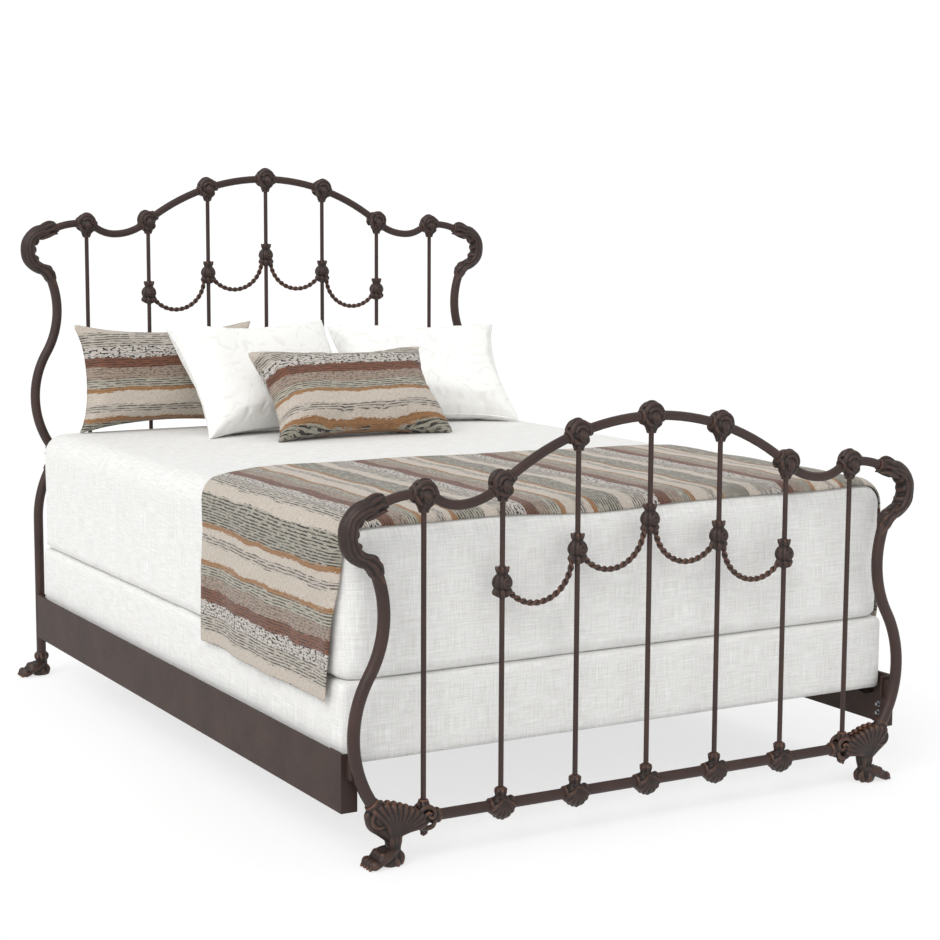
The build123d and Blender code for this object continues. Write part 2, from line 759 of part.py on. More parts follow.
def pillow_outline(plane, half_width, half_height, draw_in):
    """Four-sided outline with pointed corners: draw_in bows its sides inwards, or outwards below 0."""
    corners = [(-half_width, -half_height), (half_width, -half_height),
               (half_width, half_height), (-half_width, half_height)]
    middles = [(0, -half_height + draw_in), (half_width - draw_in, 0),
               (0, half_height - draw_in), (-half_width + draw_in, 0)]
    with BuildSketch(plane) as outline:
        with BuildLine():
            for side in range(4):
                ThreePointArc(corners[side], middles[side], corners[(side + 1) % 4])
        make_face()
    return outline.sketch


def pillow(size, across, from_head, lean, turn=0):
    """Crowned pillow with drawn-in sides, leaning back on the mattress by the given angles.

    Its middle is a share of the half width across and a distance in from the mattress's head end.
    """
    middle_x = across * mattress_half_width
    middle_y = mattress_front_y + mattress_length - from_head
    width, height, thickness = size
    tilt = radians(lean)
    swing = radians(turn)
    facing = Vector(sin(swing) * cos(tilt), -cos(swing) * cos(tilt), sin(tilt))
    stance = Plane(origin=(0, 0, 0), x_dir=(cos(swing), sin(swing), 0), z_dir=facing)
    with BuildPart() as half:
        for rise, inset, draw_in in (
            (0, 0, pillow_draw_in),
            (0.3, 0.1, pillow_draw_in * 0.5),
            (0.6, 0.25, 0.1),
            (0.85, 0.44, -pillow_draw_in * 0.4),
            (1, 0.7, -pillow_draw_in * 0.6),
        ):
            half_width = width / 2 - inset * height / 2
            half_height = height / 2 * (1 - inset)
            add(pillow_outline(Plane.XY.offset(rise * thickness / 2), half_width, half_height, draw_in))
        loft()
    with BuildPart() as whole:
        add(half.part)
        mirror(about=Plane.XY)
    leaning = stance.from_local_coords(whole.part)
    drop = leaning.bounding_box().min.Z
    return leaning.moved(Location((middle_x, middle_y, mattress_top_z + soft_gap - drop)))


save(pillow(striped_pillow_size, *striped_back_stance), "striped_pillow_back")
save(pillow(white_pillow_size, *white_left_stance), "white_pillow_left")
save(pillow(white_pillow_size, *white_right_stance), "white_pillow_right")
save(pillow(striped_pillow_size, *striped_front_stance), "striped_pillow_front")
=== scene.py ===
from math import asin, atan2, cos, pi, radians, sin, sqrt

import bmesh
import bpy
import numpy as np
from mathutils import Euler, Matrix, Vector


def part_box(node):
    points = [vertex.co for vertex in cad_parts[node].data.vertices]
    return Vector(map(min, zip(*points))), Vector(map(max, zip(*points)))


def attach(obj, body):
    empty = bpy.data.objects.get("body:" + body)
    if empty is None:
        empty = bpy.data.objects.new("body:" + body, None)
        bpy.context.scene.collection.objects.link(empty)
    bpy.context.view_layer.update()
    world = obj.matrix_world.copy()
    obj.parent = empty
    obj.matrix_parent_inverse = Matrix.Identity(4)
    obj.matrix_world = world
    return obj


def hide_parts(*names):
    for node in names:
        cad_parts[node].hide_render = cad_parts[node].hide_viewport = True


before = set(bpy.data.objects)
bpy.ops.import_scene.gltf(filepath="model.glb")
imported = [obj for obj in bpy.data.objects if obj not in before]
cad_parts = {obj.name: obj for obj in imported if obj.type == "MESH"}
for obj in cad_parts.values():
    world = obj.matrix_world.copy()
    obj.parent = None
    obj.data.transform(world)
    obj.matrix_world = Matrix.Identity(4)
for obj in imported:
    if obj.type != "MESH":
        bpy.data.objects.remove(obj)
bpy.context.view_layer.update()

# %% [markdown]
# # A wrought iron bed, dressed
# The iron frame, its rails and its slats come in as finished solids. What is made here is
# what a founder, a rope twister and an upholsterer would add: the carved castings, the
# twisted swags, the mattress and its covers, a woven throw and four pillows.
# Lengths are in millimetres while a piece is drawn, and in metres once it is in the scene.

# %% Sizes taken from the frame
MM = 0.001
spindle_pitch = 196
foot_y = -1056.5
board_gap = 2113
headboard_rise = 558
spindles = [spindle_pitch * step for step in (-3, -2, -1, 0, 1, 2, 3)]
low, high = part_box("foot_top_rail")
print(f"footboard rail spans {(high.x - low.x) / MM:.0f} mm and tops out at {high.z / MM:.0f} mm")

# %% Putting things in the scene


def in_scene(name, data):
    """A new object of the given mesh, lamp or camera, linked into the scene."""
    piece = bpy.data.objects.new(name, data)
    bpy.context.scene.collection.objects.link(piece)
    return piece


# %% [markdown]
# ## The camera
# The photograph is taken from beyond the foot's left corner, a little above the mattress,
# with a long lens. Its place was found from the castings, whose spacing is known.

# %% Camera
camera_place = (-2.607, -4.7405, 1.391)
camera_pitch = 7.26
camera_yaw = -30.06
camera_roll = 0.28
camera_data = bpy.data.cameras.new("camera")
camera_data.lens = 76.3
camera_data.sensor_width = 36
camera_data.clip_end = 200
camera = in_scene("camera", camera_data)
turn = Euler((radians(90 - camera_pitch), 0, radians(camera_yaw))).to_matrix()
turn = turn @ Matrix.Rotation(radians(camera_roll), 3, "Z")
camera.matrix_world = Matrix.Translation(camera_place) @ turn.to_4x4()
bpy.context.scene.camera = camera
bpy.context.scene.view_settings.view_transform = "Standard"
print(f"camera with a {camera_data.lens:.1f} mm lens")

# %% [markdown]
# ## Small tools for drawing materials
# A finish is a short chain of nodes. These helpers keep each chain readable: one adds a
# node and wires its inputs, the others are arithmetic, mixing and banding.

# %% Node helpers


def tint(red, green, blue):
    """A paint colour, given as it looks on a screen, turned into light."""
    parts = [c / 255 for c in (red, green, blue)]
    return tuple(c / 12.92 if c < 0.04045 else ((c + 0.055) / 1.055) ** 2.4 for c in parts) + (1,)


def new_material(name):
    material = bpy.data.materials.new(name)
    material.use_nodes = True
    return material, material.node_tree, material.node_tree.nodes["Principled BSDF"]


def add_node(tree, kind, inputs=None, **settings):
    node = tree.nodes.new("ShaderNode" + kind)
    for key, value in settings.items():
        setattr(node, key, value)
    for key, value in (inputs or {}).items():
        if isinstance(value, bpy.types.NodeSocket):
            tree.links.new(value, node.inputs[key])
        else:
            node.inputs[key].default_value = value
    return node


def calc(tree, operation, first, second=0.0):
    return add_node(tree, "Math", {0: first, 1: second}, operation=operation).outputs[0]


def blend_colors(tree, amount, first, second, how="MIX"):
    node = add_node(tree, "Mix", {0: amount, 6: first, 7: second}, data_type="RGBA", blend_type=how)
    return node.outputs[2]


def noise(tree, where, scale, detail=3.0, rough=0.55):
    inputs = {"Vector": where, "Scale": scale, "Detail": detail, "Roughness": rough}
    return add_node(tree, "TexNoise", inputs).outputs[0]


def bands(tree, value, stops, how="LINEAR"):
    node = add_node(tree, "ValToRGB", {0: value})
    ramp = node.color_ramp
    ramp.interpolation = how
    ramp.elements[0].position, ramp.elements[0].color = stops[0]
    ramp.elements[1].position, ramp.elements[1].color = stops[1]
    for position, color in stops[2:]:
        ramp.elements.new(position).color = color
    return node.outputs[0]


def grey(value):
    return (value, value, value, 1)


def stretched(tree, where, scale):
    return add_node(tree, "Mapping", {"Vector": where, "Scale": scale}).outputs[0]


def bump(tree, shader, height, depth, strength=1.0):
    node = add_node(tree, "Bump", {"Height": height, "Distance": depth, "Strength": strength})
    tree.links.new(node.outputs[0], shader.inputs["Normal"])


def object_place(tree):
    return add_node(tree, "TexCoord").outputs["Object"]


# %% [markdown]
# ## Iron
# The tubes carry a thin bronze-brown coat, so they are even and satin. The castings have
# the same coat rubbed back on their high spots, where the rust-brown undercoat shows.
# How far a spot stands out of its surroundings is measured on each casting and kept with
# its mesh as "rubbed".

# %% Iron finishes


def tube_iron(name, dark, light, shine):
    material, tree, shader = new_material(name)
    place = object_place(tree)
    broad = noise(tree, place, 9.0, 4.0)
    fine = noise(tree, place, 220.0, 3.0)
    mottled = calc(tree, "ADD", calc(tree, "MULTIPLY", broad, 0.7), calc(tree, "MULTIPLY", fine, 0.3))
    color = bands(tree, mottled, [(0.38, dark), (0.62, light)])
    tree.links.new(color, shader.inputs["Base Color"])
    roughness = add_node(tree, "MapRange", {0: fine, 1: 0.3, 2: 0.7, 3: shine - 0.05, 4: shine + 0.08})
    tree.links.new(roughness.outputs[0], shader.inputs["Roughness"])
    shader.inputs["Specular IOR Level"].default_value = 0.5
    bump(tree, shader, noise(tree, place, 420.0, 2.0), 0.0003, 0.5)
    return material


def rubbed_iron(name):
    material, tree, shader = new_material(name)
    place = object_place(tree)
    rubbed = add_node(tree, "Attribute", attribute_name="rubbed").outputs["Fac"]
    patchy = calc(tree, "SUBTRACT", noise(tree, place, 60.0, 4.0), 0.5)
    worn = calc(tree, "ADD", rubbed, calc(tree, "MULTIPLY", patchy, 0.45))
    color = bands(tree, worn, [
        (0.25, tint(24, 15, 12)),
        (0.5, tint(46, 29, 23)),
        (0.72, tint(68, 43, 32)),
        (0.95, tint(108, 70, 48)),
    ])
    tree.links.new(color, shader.inputs["Base Color"])
    roughness = add_node(tree, "MapRange", {0: worn, 1: 0.2, 2: 0.9, 3: 0.62, 4: 0.4})
    tree.links.new(roughness.outputs[0], shader.inputs["Roughness"])
    shader.inputs["Specular IOR Level"].default_value = 0.5
    bump(tree, shader, noise(tree, place, 380.0, 4.0), 0.0006, 0.6)
    return material


def plain_metal(name, dark, light, shine, metal):
    material, tree, shader = new_material(name)
    place = object_place(tree)
    spotted = noise(tree, place, 70.0, 5.0)
    tree.links.new(bands(tree, spotted, [(0.35, dark), (0.65, light)]), shader.inputs["Base Color"])
    shader.inputs["Metallic"].default_value = metal
    roughness = add_node(tree, "MapRange", {0: spotted, 1: 0.3, 2: 0.7, 3: shine, 4: shine + 0.15})
    tree.links.new(roughness.outputs[0], shader.inputs["Roughness"])
    bump(tree, shader, noise(tree, place, 900.0, 2.0), 0.0002, 0.4)
    return material


finishes = {
    "bronze_brown_iron": tube_iron("satin_tube_iron", tint(44, 26, 21), tint(60, 38, 31), 0.48),
    "brown_rail_paint": tube_iron("flat_rail_paint", tint(48, 30, 23), tint(60, 40, 31), 0.62),
    "rubbed_cast_iron": rubbed_iron("rubbed_casting_iron"),
    "black_slat_paint": plain_metal("slat_paint", tint(20, 20, 20), tint(34, 34, 34), 0.45, 0.0),
    "zinc_steel": plain_metal("zinc_plate", tint(140, 142, 146), tint(176, 178, 182), 0.28, 1.0),
    "black_nylon": plain_metal("moulded_nylon", tint(16, 16, 17), tint(28, 28, 30), 0.5, 0.0),
}
print(f"{len(finishes)} hard finishes")

# %% [markdown]
# ## Cloth
# The covers are undyed linen with uneven threads, so light and dark slubs run both ways.
# The throw and the striped pillows are one banded weave that repeats about every 365 mm:
# plain beige, charcoal pinstripes, flecked black and white, rust, taupe and ochre, with
# ragged joins where one yarn ends and the next begins.

# %% Linen and quilted cotton


def slubs(tree, where, along, across):
    """Uneven threads of a plain weave, running both ways over flat coordinates in metres."""
    warp = noise(tree, stretched(tree, where, (across, along, 1)), 1.0, 2.0)
    weft = noise(tree, stretched(tree, where, (along, across, 1)), 1.0, 2.0)
    return calc(tree, "MULTIPLY", calc(tree, "ADD", warp, weft), 0.5)


def linen(name, shade, light, where_from):
    material, tree, shader = new_material(name)
    where = add_node(tree, "TexCoord").outputs[where_from]
    coarse = slubs(tree, where, 16.0, 330.0)
    fine = slubs(tree, where, 70.0, 950.0)
    woven = calc(tree, "ADD", calc(tree, "MULTIPLY", coarse, 0.65), calc(tree, "MULTIPLY", fine, 0.35))
    tree.links.new(bands(tree, woven, [(0.38, shade), (0.6, light)]), shader.inputs["Base Color"])
    shader.inputs["Roughness"].default_value = 0.92
    shader.inputs["Specular IOR Level"].default_value = 0.25
    shader.inputs["Sheen Weight"].default_value = 0.15
    bump(tree, shader, woven, 0.0012, 0.55)
    return material


def quilted(name):
    material, tree, shader = new_material(name)
    where = object_place(tree)
    flat = stretched(tree, where, (1, 1, 0))
    drift = add_node(tree, "TexNoise", {"Vector": flat, "Scale": 9.0, "Detail": 1.0}).outputs["Color"]
    swirled = blend_colors(tree, 0.16, flat, drift, "ADD")
    scroll = add_node(tree, "TexVoronoi", {"Vector": swirled, "Scale": 15.0}, feature="DISTANCE_TO_EDGE")
    stitched = bands(tree, scroll.outputs["Distance"], [(0.0, grey(0)), (0.11, grey(1))], "EASE")
    rings = add_node(
        tree, "TexWave", {"Vector": swirled, "Scale": 11.0, "Distortion": 6.0, "Detail": 1.0},
        wave_type="RINGS",
    ).outputs["Fac"]
    fine = slubs(tree, flat, 60.0, 700.0)
    relief = calc(tree, "ADD", calc(tree, "MULTIPLY", stitched, 0.4), calc(tree, "MULTIPLY", rings, 0.4))
    relief = calc(tree, "ADD", relief, calc(tree, "MULTIPLY", fine, 0.5))
    # Painted shade: the cotton is painted a little darker where its relief is low, in the stitched grooves
    # and between the quilted rings, on top of the uneven tone of its threads.
    groove_shaded_tone = bands(tree, relief, [(0.2, tint(237, 236, 232)), (0.7, tint(248, 248, 245))])
    tree.links.new(groove_shaded_tone, shader.inputs["Base Color"])
    shader.inputs["Roughness"].default_value = 0.9
    shader.inputs["Specular IOR Level"].default_value = 0.25
    shader.inputs["Sheen Weight"].default_value = 0.15
    bump(tree, shader, relief, 0.002, 0.35)
    return material


# %% Banded weave
repeat = 0.365
line_pitch = 0.0069
rib_pitch = 0.0031
edge_wander = 0.024
edge_fray = 0.017
line_wander = 0.009
charcoal = tint(58, 54, 53)
fleck_black = tint(44, 41, 41)
beige = tint(206, 195, 182)
band_plan = [
    (0.000, beige, 0.0, 0.0),
    (0.030, tint(194, 186, 174), 0.9, 0.0),
    (0.072, tint(212, 205, 197), 0.3, 1.0),
    (0.103, tint(132, 88, 68), 0.85, 0.1),
    (0.135, tint(170, 152, 137), 0.35, 0.5),
    (0.168, tint(182, 176, 161), 0.85, 0.0),
    (0.194, tint(166, 126, 88), 0.25, 0.0),
    (0.206, beige, 0.0, 0.0),
    (0.244, tint(196, 187, 175), 0.85, 0.0),
    (0.264, beige, 0.0, 0.0),
    (0.282, tint(164, 122, 84), 0.25, 0.0),
    (0.294, tint(172, 167, 153), 0.95, 0.12),
]


def banded_weave(name, where_from, across_of, along_of):
    """Ragged bands across one axis of flat coordinates in metres, threads running along the other."""
    material, tree, shader = new_material(name)
    where = add_node(tree, "TexCoord").outputs[where_from]
    parts = add_node(tree, "SeparateXYZ", {0: where})
    along = calc(tree, "MULTIPLY", parts.outputs[along_of[0]], along_of[1])
    across = calc(tree, "MULTIPLY_ADD", parts.outputs[across_of[0]], across_of[1])
    across.node.inputs[2].default_value = across_of[2]
    flat = add_node(tree, "CombineXYZ", {0: along, 1: across}).outputs[0]

    wander = calc(tree, "SUBTRACT", noise(tree, stretched(tree, flat, (9, 13, 1)), 1.0, 2.0), 0.5)
    frayed = calc(tree, "SUBTRACT", noise(tree, stretched(tree, flat, (75, 420, 1)), 1.0, 2.0), 0.5)
    shifted = calc(tree, "ADD", across, calc(tree, "MULTIPLY", wander, edge_wander))
    steady = calc(tree, "ADD", across, calc(tree, "MULTIPLY", wander, line_wander))
    edge = calc(tree, "ADD", shifted, calc(tree, "MULTIPLY", frayed, edge_fray))
    phase = calc(tree, "FRACT", calc(tree, "DIVIDE", edge, repeat))
    color = bands(tree, phase, [(s / repeat, c) for s, c, _, _ in band_plan], "CONSTANT")
    lines = bands(tree, phase, [(s / repeat, grey(v)) for s, _, v, _ in band_plan], "CONSTANT")
    flecks = bands(tree, phase, [(s / repeat, grey(v)) for s, _, _, v in band_plan], "CONSTANT")

    pick = calc(tree, "FRACT", calc(tree, "DIVIDE", steady, line_pitch))
    stripe = calc(tree, "LESS_THAN", pick, 0.5)
    broken = calc(tree, "GREATER_THAN", noise(tree, stretched(tree, flat, (38, 300, 1)), 1.0, 2.0), 0.46)
    pinstripe = calc(tree, "MULTIPLY", calc(tree, "MULTIPLY", stripe, broken), lines)
    color = blend_colors(tree, pinstripe, color, charcoal)
    spatter = noise(tree, stretched(tree, flat, (95, 190, 1)), 1.0, 2.0)
    blot = calc(tree, "MULTIPLY", calc(tree, "GREATER_THAN", spatter, 0.56), flecks)
    color = blend_colors(tree, blot, color, fleck_black)
    yarn = slubs(tree, flat, 90.0, 520.0)
    toned = bands(tree, yarn, [(0.3, grey(0.62)), (0.7, grey(1.12))])
    color = blend_colors(tree, 1.0, color, toned, "MULTIPLY")
    tree.links.new(color, shader.inputs["Base Color"])
    shader.inputs["Roughness"].default_value = 0.95
    shader.inputs["Specular IOR Level"].default_value = 0.2
    shader.inputs["Sheen Weight"].default_value = 0.2
    ribs = calc(tree, "SINE", calc(tree, "MULTIPLY", shifted, 2 * pi / rib_pitch))
    height = calc(tree, "ADD", calc(tree, "MULTIPLY", ribs, 0.25), yarn)
    bump(tree, shader, height, 0.0014, 0.7)
    return material


finishes["linen_cover"] = linen("undyed_linen", tint(217, 216, 213), tint(245, 245, 243), "UV")
finishes["quilted_pillow"] = quilted("quilted_cotton")
finishes["woven_throw"] = banded_weave("throw_weave", "UV", (1, 1.0, 0.0), (0, 1.0))
finishes["woven_pillow"] = banded_weave("pillow_weave", "Object", (1, -1.0, 0.162), (0, 1.0))
print(f"{len(finishes)} finishes in all")

# %% Give every solid its finish
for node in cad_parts.values():
    for place in node.material_slots:
        place.material = finishes[place.material.name.split(".")[0]]

# %% [markdown]
# ## Lobes: how the castings are modelled
# A carver's pattern for such castings is built up from rolls and pellets of wax pressed
# together and smoothed with a warm tool. Each lobe here is one roll: a line with a
# thickness at each point. All the lobes of a piece are fused into one skin, which is then
# eased a little, so that neighbouring rolls leave soft grooves between them.
# A lobe's points are (across the bed, up, out from the board), with the radius last.

# %% Lobe tools


def smooth_line(points, count):
    """Points along a curve that passes through all the given ones."""
    given = np.array(points, float)
    line = np.vstack([2 * given[0] - given[1], given, 2 * given[-1] - given[-2]])
    where = np.linspace(0, len(given) - 1, count)
    first = np.minimum(where.astype(int), len(given) - 2)
    f = (where - first)[:, None]
    a, b, c, d = (line[first + k] for k in range(4))
    return 0.5 * (2 * b + (c - a) * f + (2 * a - 5 * b + 4 * c - d) * f**2 + (3 * b - a - 3 * c + d) * f**3)


def ring_faces(rings, sides):
    faces = []
    for r in range(rings - 1):
        for s in range(sides):
            t = (s + 1) % sides
            faces.append((r * sides + s, r * sides + t, (r + 1) * sides + t, (r + 1) * sides + s))
    return faces


def lobe(points, round_ends=True, sides=14, density=4):
    """A roll along (x, up, out, radius) points, as vertices and faces."""
    line = smooth_line(points, max(3, (len(points) - 1) * density + 1))
    centre, radius = line[:, :3], np.maximum(line[:, 3], 0.4)
    heading = np.gradient(centre, axis=0)
    heading /= np.linalg.norm(heading, axis=1)[:, None] + 1e-9
    if round_ends:
        swell = np.array([0.35, 0.72, 0.94])
        reach = np.sqrt(1 - swell**2)
        start = centre[0] - heading[0] * (radius[0] * reach)[:, None]
        finish = centre[-1] + heading[-1] * (radius[-1] * reach[::-1])[:, None]
        centre = np.vstack([start, centre, finish])
        radius = np.concatenate([radius[0] * swell, radius, radius[-1] * swell[::-1]])
        heading = np.vstack([heading[:1].repeat(3, 0), heading, heading[-1:].repeat(3, 0)])
    side = np.array([0.31, 0.17, 0.93])
    across = np.cross(heading, side)
    across /= np.linalg.norm(across, axis=1)[:, None]
    out = np.cross(across, heading)
    angle = np.linspace(0, 2 * pi, sides, endpoint=False)
    ring = np.cos(angle)[None, :, None] * across[:, None] + np.sin(angle)[None, :, None] * out[:, None]
    skin = (centre[:, None] + radius[:, None, None] * ring).reshape(-1, 3)
    rings = len(centre)
    ends = np.array([centre[0], centre[-1]])
    if round_ends:
        ends += np.array([-heading[0] * radius[0], heading[-1] * radius[-1]]) * 0.2
    faces = ring_faces(rings, sides)
    first, last = len(skin), len(skin) + 1
    for s in range(sides):
        t = (s + 1) % sides
        faces.append((first, t, s))
        faces.append((last, (rings - 1) * sides + s, (rings - 1) * sides + t))
    return np.vstack([skin, ends]), faces


def pellet(x, up, out, radius, stretch=(0, 0.5, 0)):
    dx, dz, dd = stretch
    return lobe([(x - dx, up - dz, out - dd, radius), (x + dx, up + dz, out + dd, radius)])


def hoop(x, up, out, wide, tall, radius, lean=0.0):
    """A closed oval roll facing outwards, or lying flat when lean is a quarter turn."""
    points = []
    for step in range(15):
        a = 2 * pi * step / 14
        rise = tall * sin(a)
        points.append((x + wide * cos(a), up + rise * cos(lean), out + rise * sin(lean), radius))
    return lobe(points, round_ends=False)


def shifted(lobes, x, up):
    return [(skin + np.array([x, up, 0]), faces) for skin, faces in lobes]


def both_sides(lobes):
    """The same relief on the board's outer and inner faces."""
    flip = np.array([1, 1, -1])
    return lobes + [(skin * flip, [f[::-1] for f in faces]) for skin, faces in lobes]


def sleeve(half):
    """Both halves of a sleeve along a rail, from (distance, radius) points of its right half."""
    return [(-distance, radius) for distance, radius in half] + half[::-1]


def around(count, profile, turn=0.0):
    """Upright rolls set round a spindle, from (distance, up, radius) points."""
    rolls = []
    for step in range(count):
        a = 2 * pi * step / count + turn
        rolls.append(lobe([(d * cos(a), z, d * sin(a), r) for d, z, r in profile]))
    return rolls


# %% Fusing the lobes into one casting


def fused(name, lobes, grain, ease=3, floor=None, full=0.0013):
    """One skin over all the lobes, in the footboard's place, with its high spots marked."""
    verts, faces, count = [], [], 0
    for skin, lobe_faces in lobes:
        verts.append(skin)
        faces += [tuple(i + count for i in face) for face in lobe_faces]
        count += len(skin)
    skin = np.vstack(verts)
    placed = np.column_stack([skin[:, 0], foot_y - skin[:, 2], skin[:, 1]]) * MM
    rough = bpy.data.meshes.new(name)
    rough.from_pydata(placed.tolist(), [], faces)
    piece = in_scene(name, rough)
    remesh = piece.modifiers.new("fuse", "REMESH")
    remesh.mode = "VOXEL"
    remesh.voxel_size = grain * MM
    smooth = piece.modifiers.new("ease", "SMOOTH")
    smooth.iterations = ease
    smooth.factor = 0.5
    mesh = applied(piece)
    if floor is not None:
        co = vertex_places(mesh)
        co[:, 2] = np.maximum(co[:, 2], floor)
        mesh.vertices.foreach_set("co", co.ravel())
    mark_rubbed(mesh, full)
    mesh.shade_smooth()
    return piece


def applied(piece):
    """Replaces the object's mesh by the one its modifiers make."""
    graph = bpy.context.evaluated_depsgraph_get()
    mesh = bpy.data.meshes.new_from_object(piece.evaluated_get(graph))
    old = piece.data
    piece.modifiers.clear()
    piece.data = mesh
    bpy.data.meshes.remove(old)
    mesh.name = piece.name
    return mesh


def vertex_places(mesh):
    co = np.empty(len(mesh.vertices) * 3)
    mesh.vertices.foreach_get("co", co)
    return co.reshape(-1, 3)


def mark_rubbed(mesh, full, rounds=10):
    """Stores how far each point stands out of its surroundings: 0 in grooves, 1 on ridges."""
    co = vertex_places(mesh)
    edges = np.empty(len(mesh.edges) * 2, int)
    mesh.edges.foreach_get("vertices", edges)
    a, b = edges.reshape(-1, 2).T
    count = np.bincount(np.concatenate([a, b]), minlength=len(co))[:, None]
    mean = co.copy()
    for _ in range(rounds):
        total = np.zeros_like(mean)
        for axis in range(3):
            total[:, axis] = np.bincount(a, mean[b, axis], len(co))
            total[:, axis] += np.bincount(b, mean[a, axis], len(co))
        mean = total / count
    normal = np.empty(len(co) * 3)
    mesh.vertices.foreach_get("normal", normal)
    stands = ((co - mean) * normal.reshape(-1, 3)).sum(1) / full
    layer = mesh.attributes.new("rubbed", "FLOAT", "POINT")
    layer.data.foreach_set("value", np.clip(0.42 + 0.5 * stands, 0, 1))


def settle(piece, node, slot):
    """Gives a piece its finish and the frame as its body, and hides the solid that it stands for."""
    piece.data.materials.clear()
    piece.data.materials.append(finishes[slot])
    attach(piece, "frame")
    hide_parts(node)


def on_both_boards(piece, part):
    """The footboard's piece, and the same casting again on the taller headboard."""
    settle(piece, f"foot_{part}", "rubbed_cast_iron")
    twin = in_scene(f"head_{part}_cast", piece.data)
    twin.location = (0, board_gap * MM, headboard_rise * MM)
    settle(twin, f"head_{part}", "rubbed_cast_iron")
    print(f"{part}: {len(piece.data.polygons)} faces, used on both boards")


# %% [markdown]
# ## Castings along the top rails
# Where a spindle meets the rail, iron was cast straight round both. The mould leaves a
# round sleeve along the rail, a ribbon of leaf folded over the top, an oval bud on each
# face and a small fluted cup that the spindle comes out of. The bud and the cup hang
# upright even where the rail slopes.

# %% Rail line
crest_z = 945
arch_radius = 655
arch_drop = 170.5
dip_x = 500
dip_z = crest_z - arch_drop
dip_outer_radius = 100
shoulder_x = 610
shoulder_rise = 31.5
shoulder_z = dip_z + shoulder_rise
shoulder_outer_radius = 200
dip_turn = 2 * atan2(arch_drop, dip_x)
dip_radius = dip_x / sin(dip_turn) - arch_radius
arch_end_x = arch_radius * sin(dip_turn)
shoulder_turn = 2 * atan2(shoulder_rise, shoulder_x - dip_x)
shoulder_radius = (shoulder_x - dip_x) / sin(shoulder_turn) - dip_outer_radius
dip_end_x = dip_x + dip_outer_radius * sin(shoulder_turn)


def rail_height(x):
    x = abs(x)
    if x <= arch_end_x:
        return crest_z - arch_radius + sqrt(arch_radius**2 - x**2)
    if x <= dip_x:
        return dip_z + dip_radius - sqrt(dip_radius**2 - (dip_x - x) ** 2)
    if x <= dip_end_x:
        return dip_z + dip_outer_radius - sqrt(dip_outer_radius**2 - (x - dip_x) ** 2)
    if x <= shoulder_x:
        return shoulder_z - shoulder_radius + sqrt(shoulder_radius**2 - (shoulder_x - x) ** 2)
    return shoulder_z - shoulder_outer_radius + sqrt(shoulder_outer_radius**2 - (x - shoulder_x) ** 2)


def rail_slope(x):
    return atan2(rail_height(x + 1) - rail_height(x - 1), 2)


# %% Rail knots


def spindle_cup(side):
    """Fluted cup with a lip, below the rail for side -1 and above it for side 1."""
    flutes = around(6, [(9, 20 * side, 5), (10, 29 * side, 5.2), (8.2, 35 * side, 4)])
    lip = hoop(0, 37 * side, 0, 8.5, 8.5, 3.4, lean=pi / 2)
    waist = hoop(0, 22 * side, 0, 11, 11, 4, lean=pi / 2)
    return flutes + [lip, waist]


def rail_knot(slope):
    run, rise = cos(slope), sin(slope)

    def rail(along, up, out, radius):
        return (along * run - up * rise, along * rise + up * run, out, radius)

    line = sleeve([(32, 14), (28, 17), (23, 16), (18, 15.5), (12, 20)])
    lobes = [lobe([rail(a, 0, 0, r) for a, r in line], round_ends=False)]
    lobes.append(lobe([(0, -14, 0, 20), (0, 6, 0, 21)]))
    relief = [
        lobe([rail(-25, 0, 10, 3), rail(-21, 13, 11, 6), rail(-9, 23, 11, 7), rail(6, 24, 12, 7),
              rail(17, 15, 15, 6), rail(22, 0, 15, 4.5), rail(20, -10, 13, 2.5)]),
        lobe([rail(-15, 10, 17, 3), rail(-6, 16, 18, 4.5), rail(6, 15, 19, 4.5), rail(13, 6, 20, 3.5)]),
        lobe([rail(-24, -4, 12, 4.5), rail(-19, -14, 15, 5.5), rail(-10, -20, 15, 4)]),
        lobe([(14, -10, 16, 4), (15, -18, 13, 5), (9, -25, 11, 4)]),
        hoop(0, -4, 21, 8.5, 11.5, 2.6),
        lobe([(-3.6, -11, 22, 2.4), (-4.2, -3, 24, 3.2), (-2.6, 4, 22, 2.2)]),
        lobe([(0, -12, 22, 2.6), (0, -3, 25.5, 3.6), (0, 6, 22, 2.4)]),
        lobe([(3.6, -11, 22, 2.4), (4.2, -3, 24, 3.2), (2.6, 4, 22, 2.2)]),
    ]
    crest = [
        lobe([rail(-17, 22, 0, 5), rail(-6, 28, 0, 7), rail(8, 27, 0, 7), rail(17, 19, 0, 5)]),
    ]
    return lobes + both_sides(relief) + crest + spindle_cup(-1)


knots = []
for x in spindles:
    knots += shifted(rail_knot(rail_slope(x)), x, rail_height(x))
on_both_boards(fused("foot_rail_knots_cast", knots, 1.3), "rail_knots")

# %% [markdown]
# ## Castings at the ropes and along the bottom rail
# Halfway down, each middle spindle carries a gourd with a crown of petals. The twisted
# ropes leave it at both sides, under the gourd. On the bottom rail the casting is a fluted
# shell that hangs under the tube, with a ribbed neck and a ring of lobes above it.

# %% Rope knots
rope_knot_heights = (709.5, 656, 597)
rope_port_out = 15
rope_port_drop = 19


def rope_knot_height(x):
    return rope_knot_heights[round(abs(x) / spindle_pitch)]


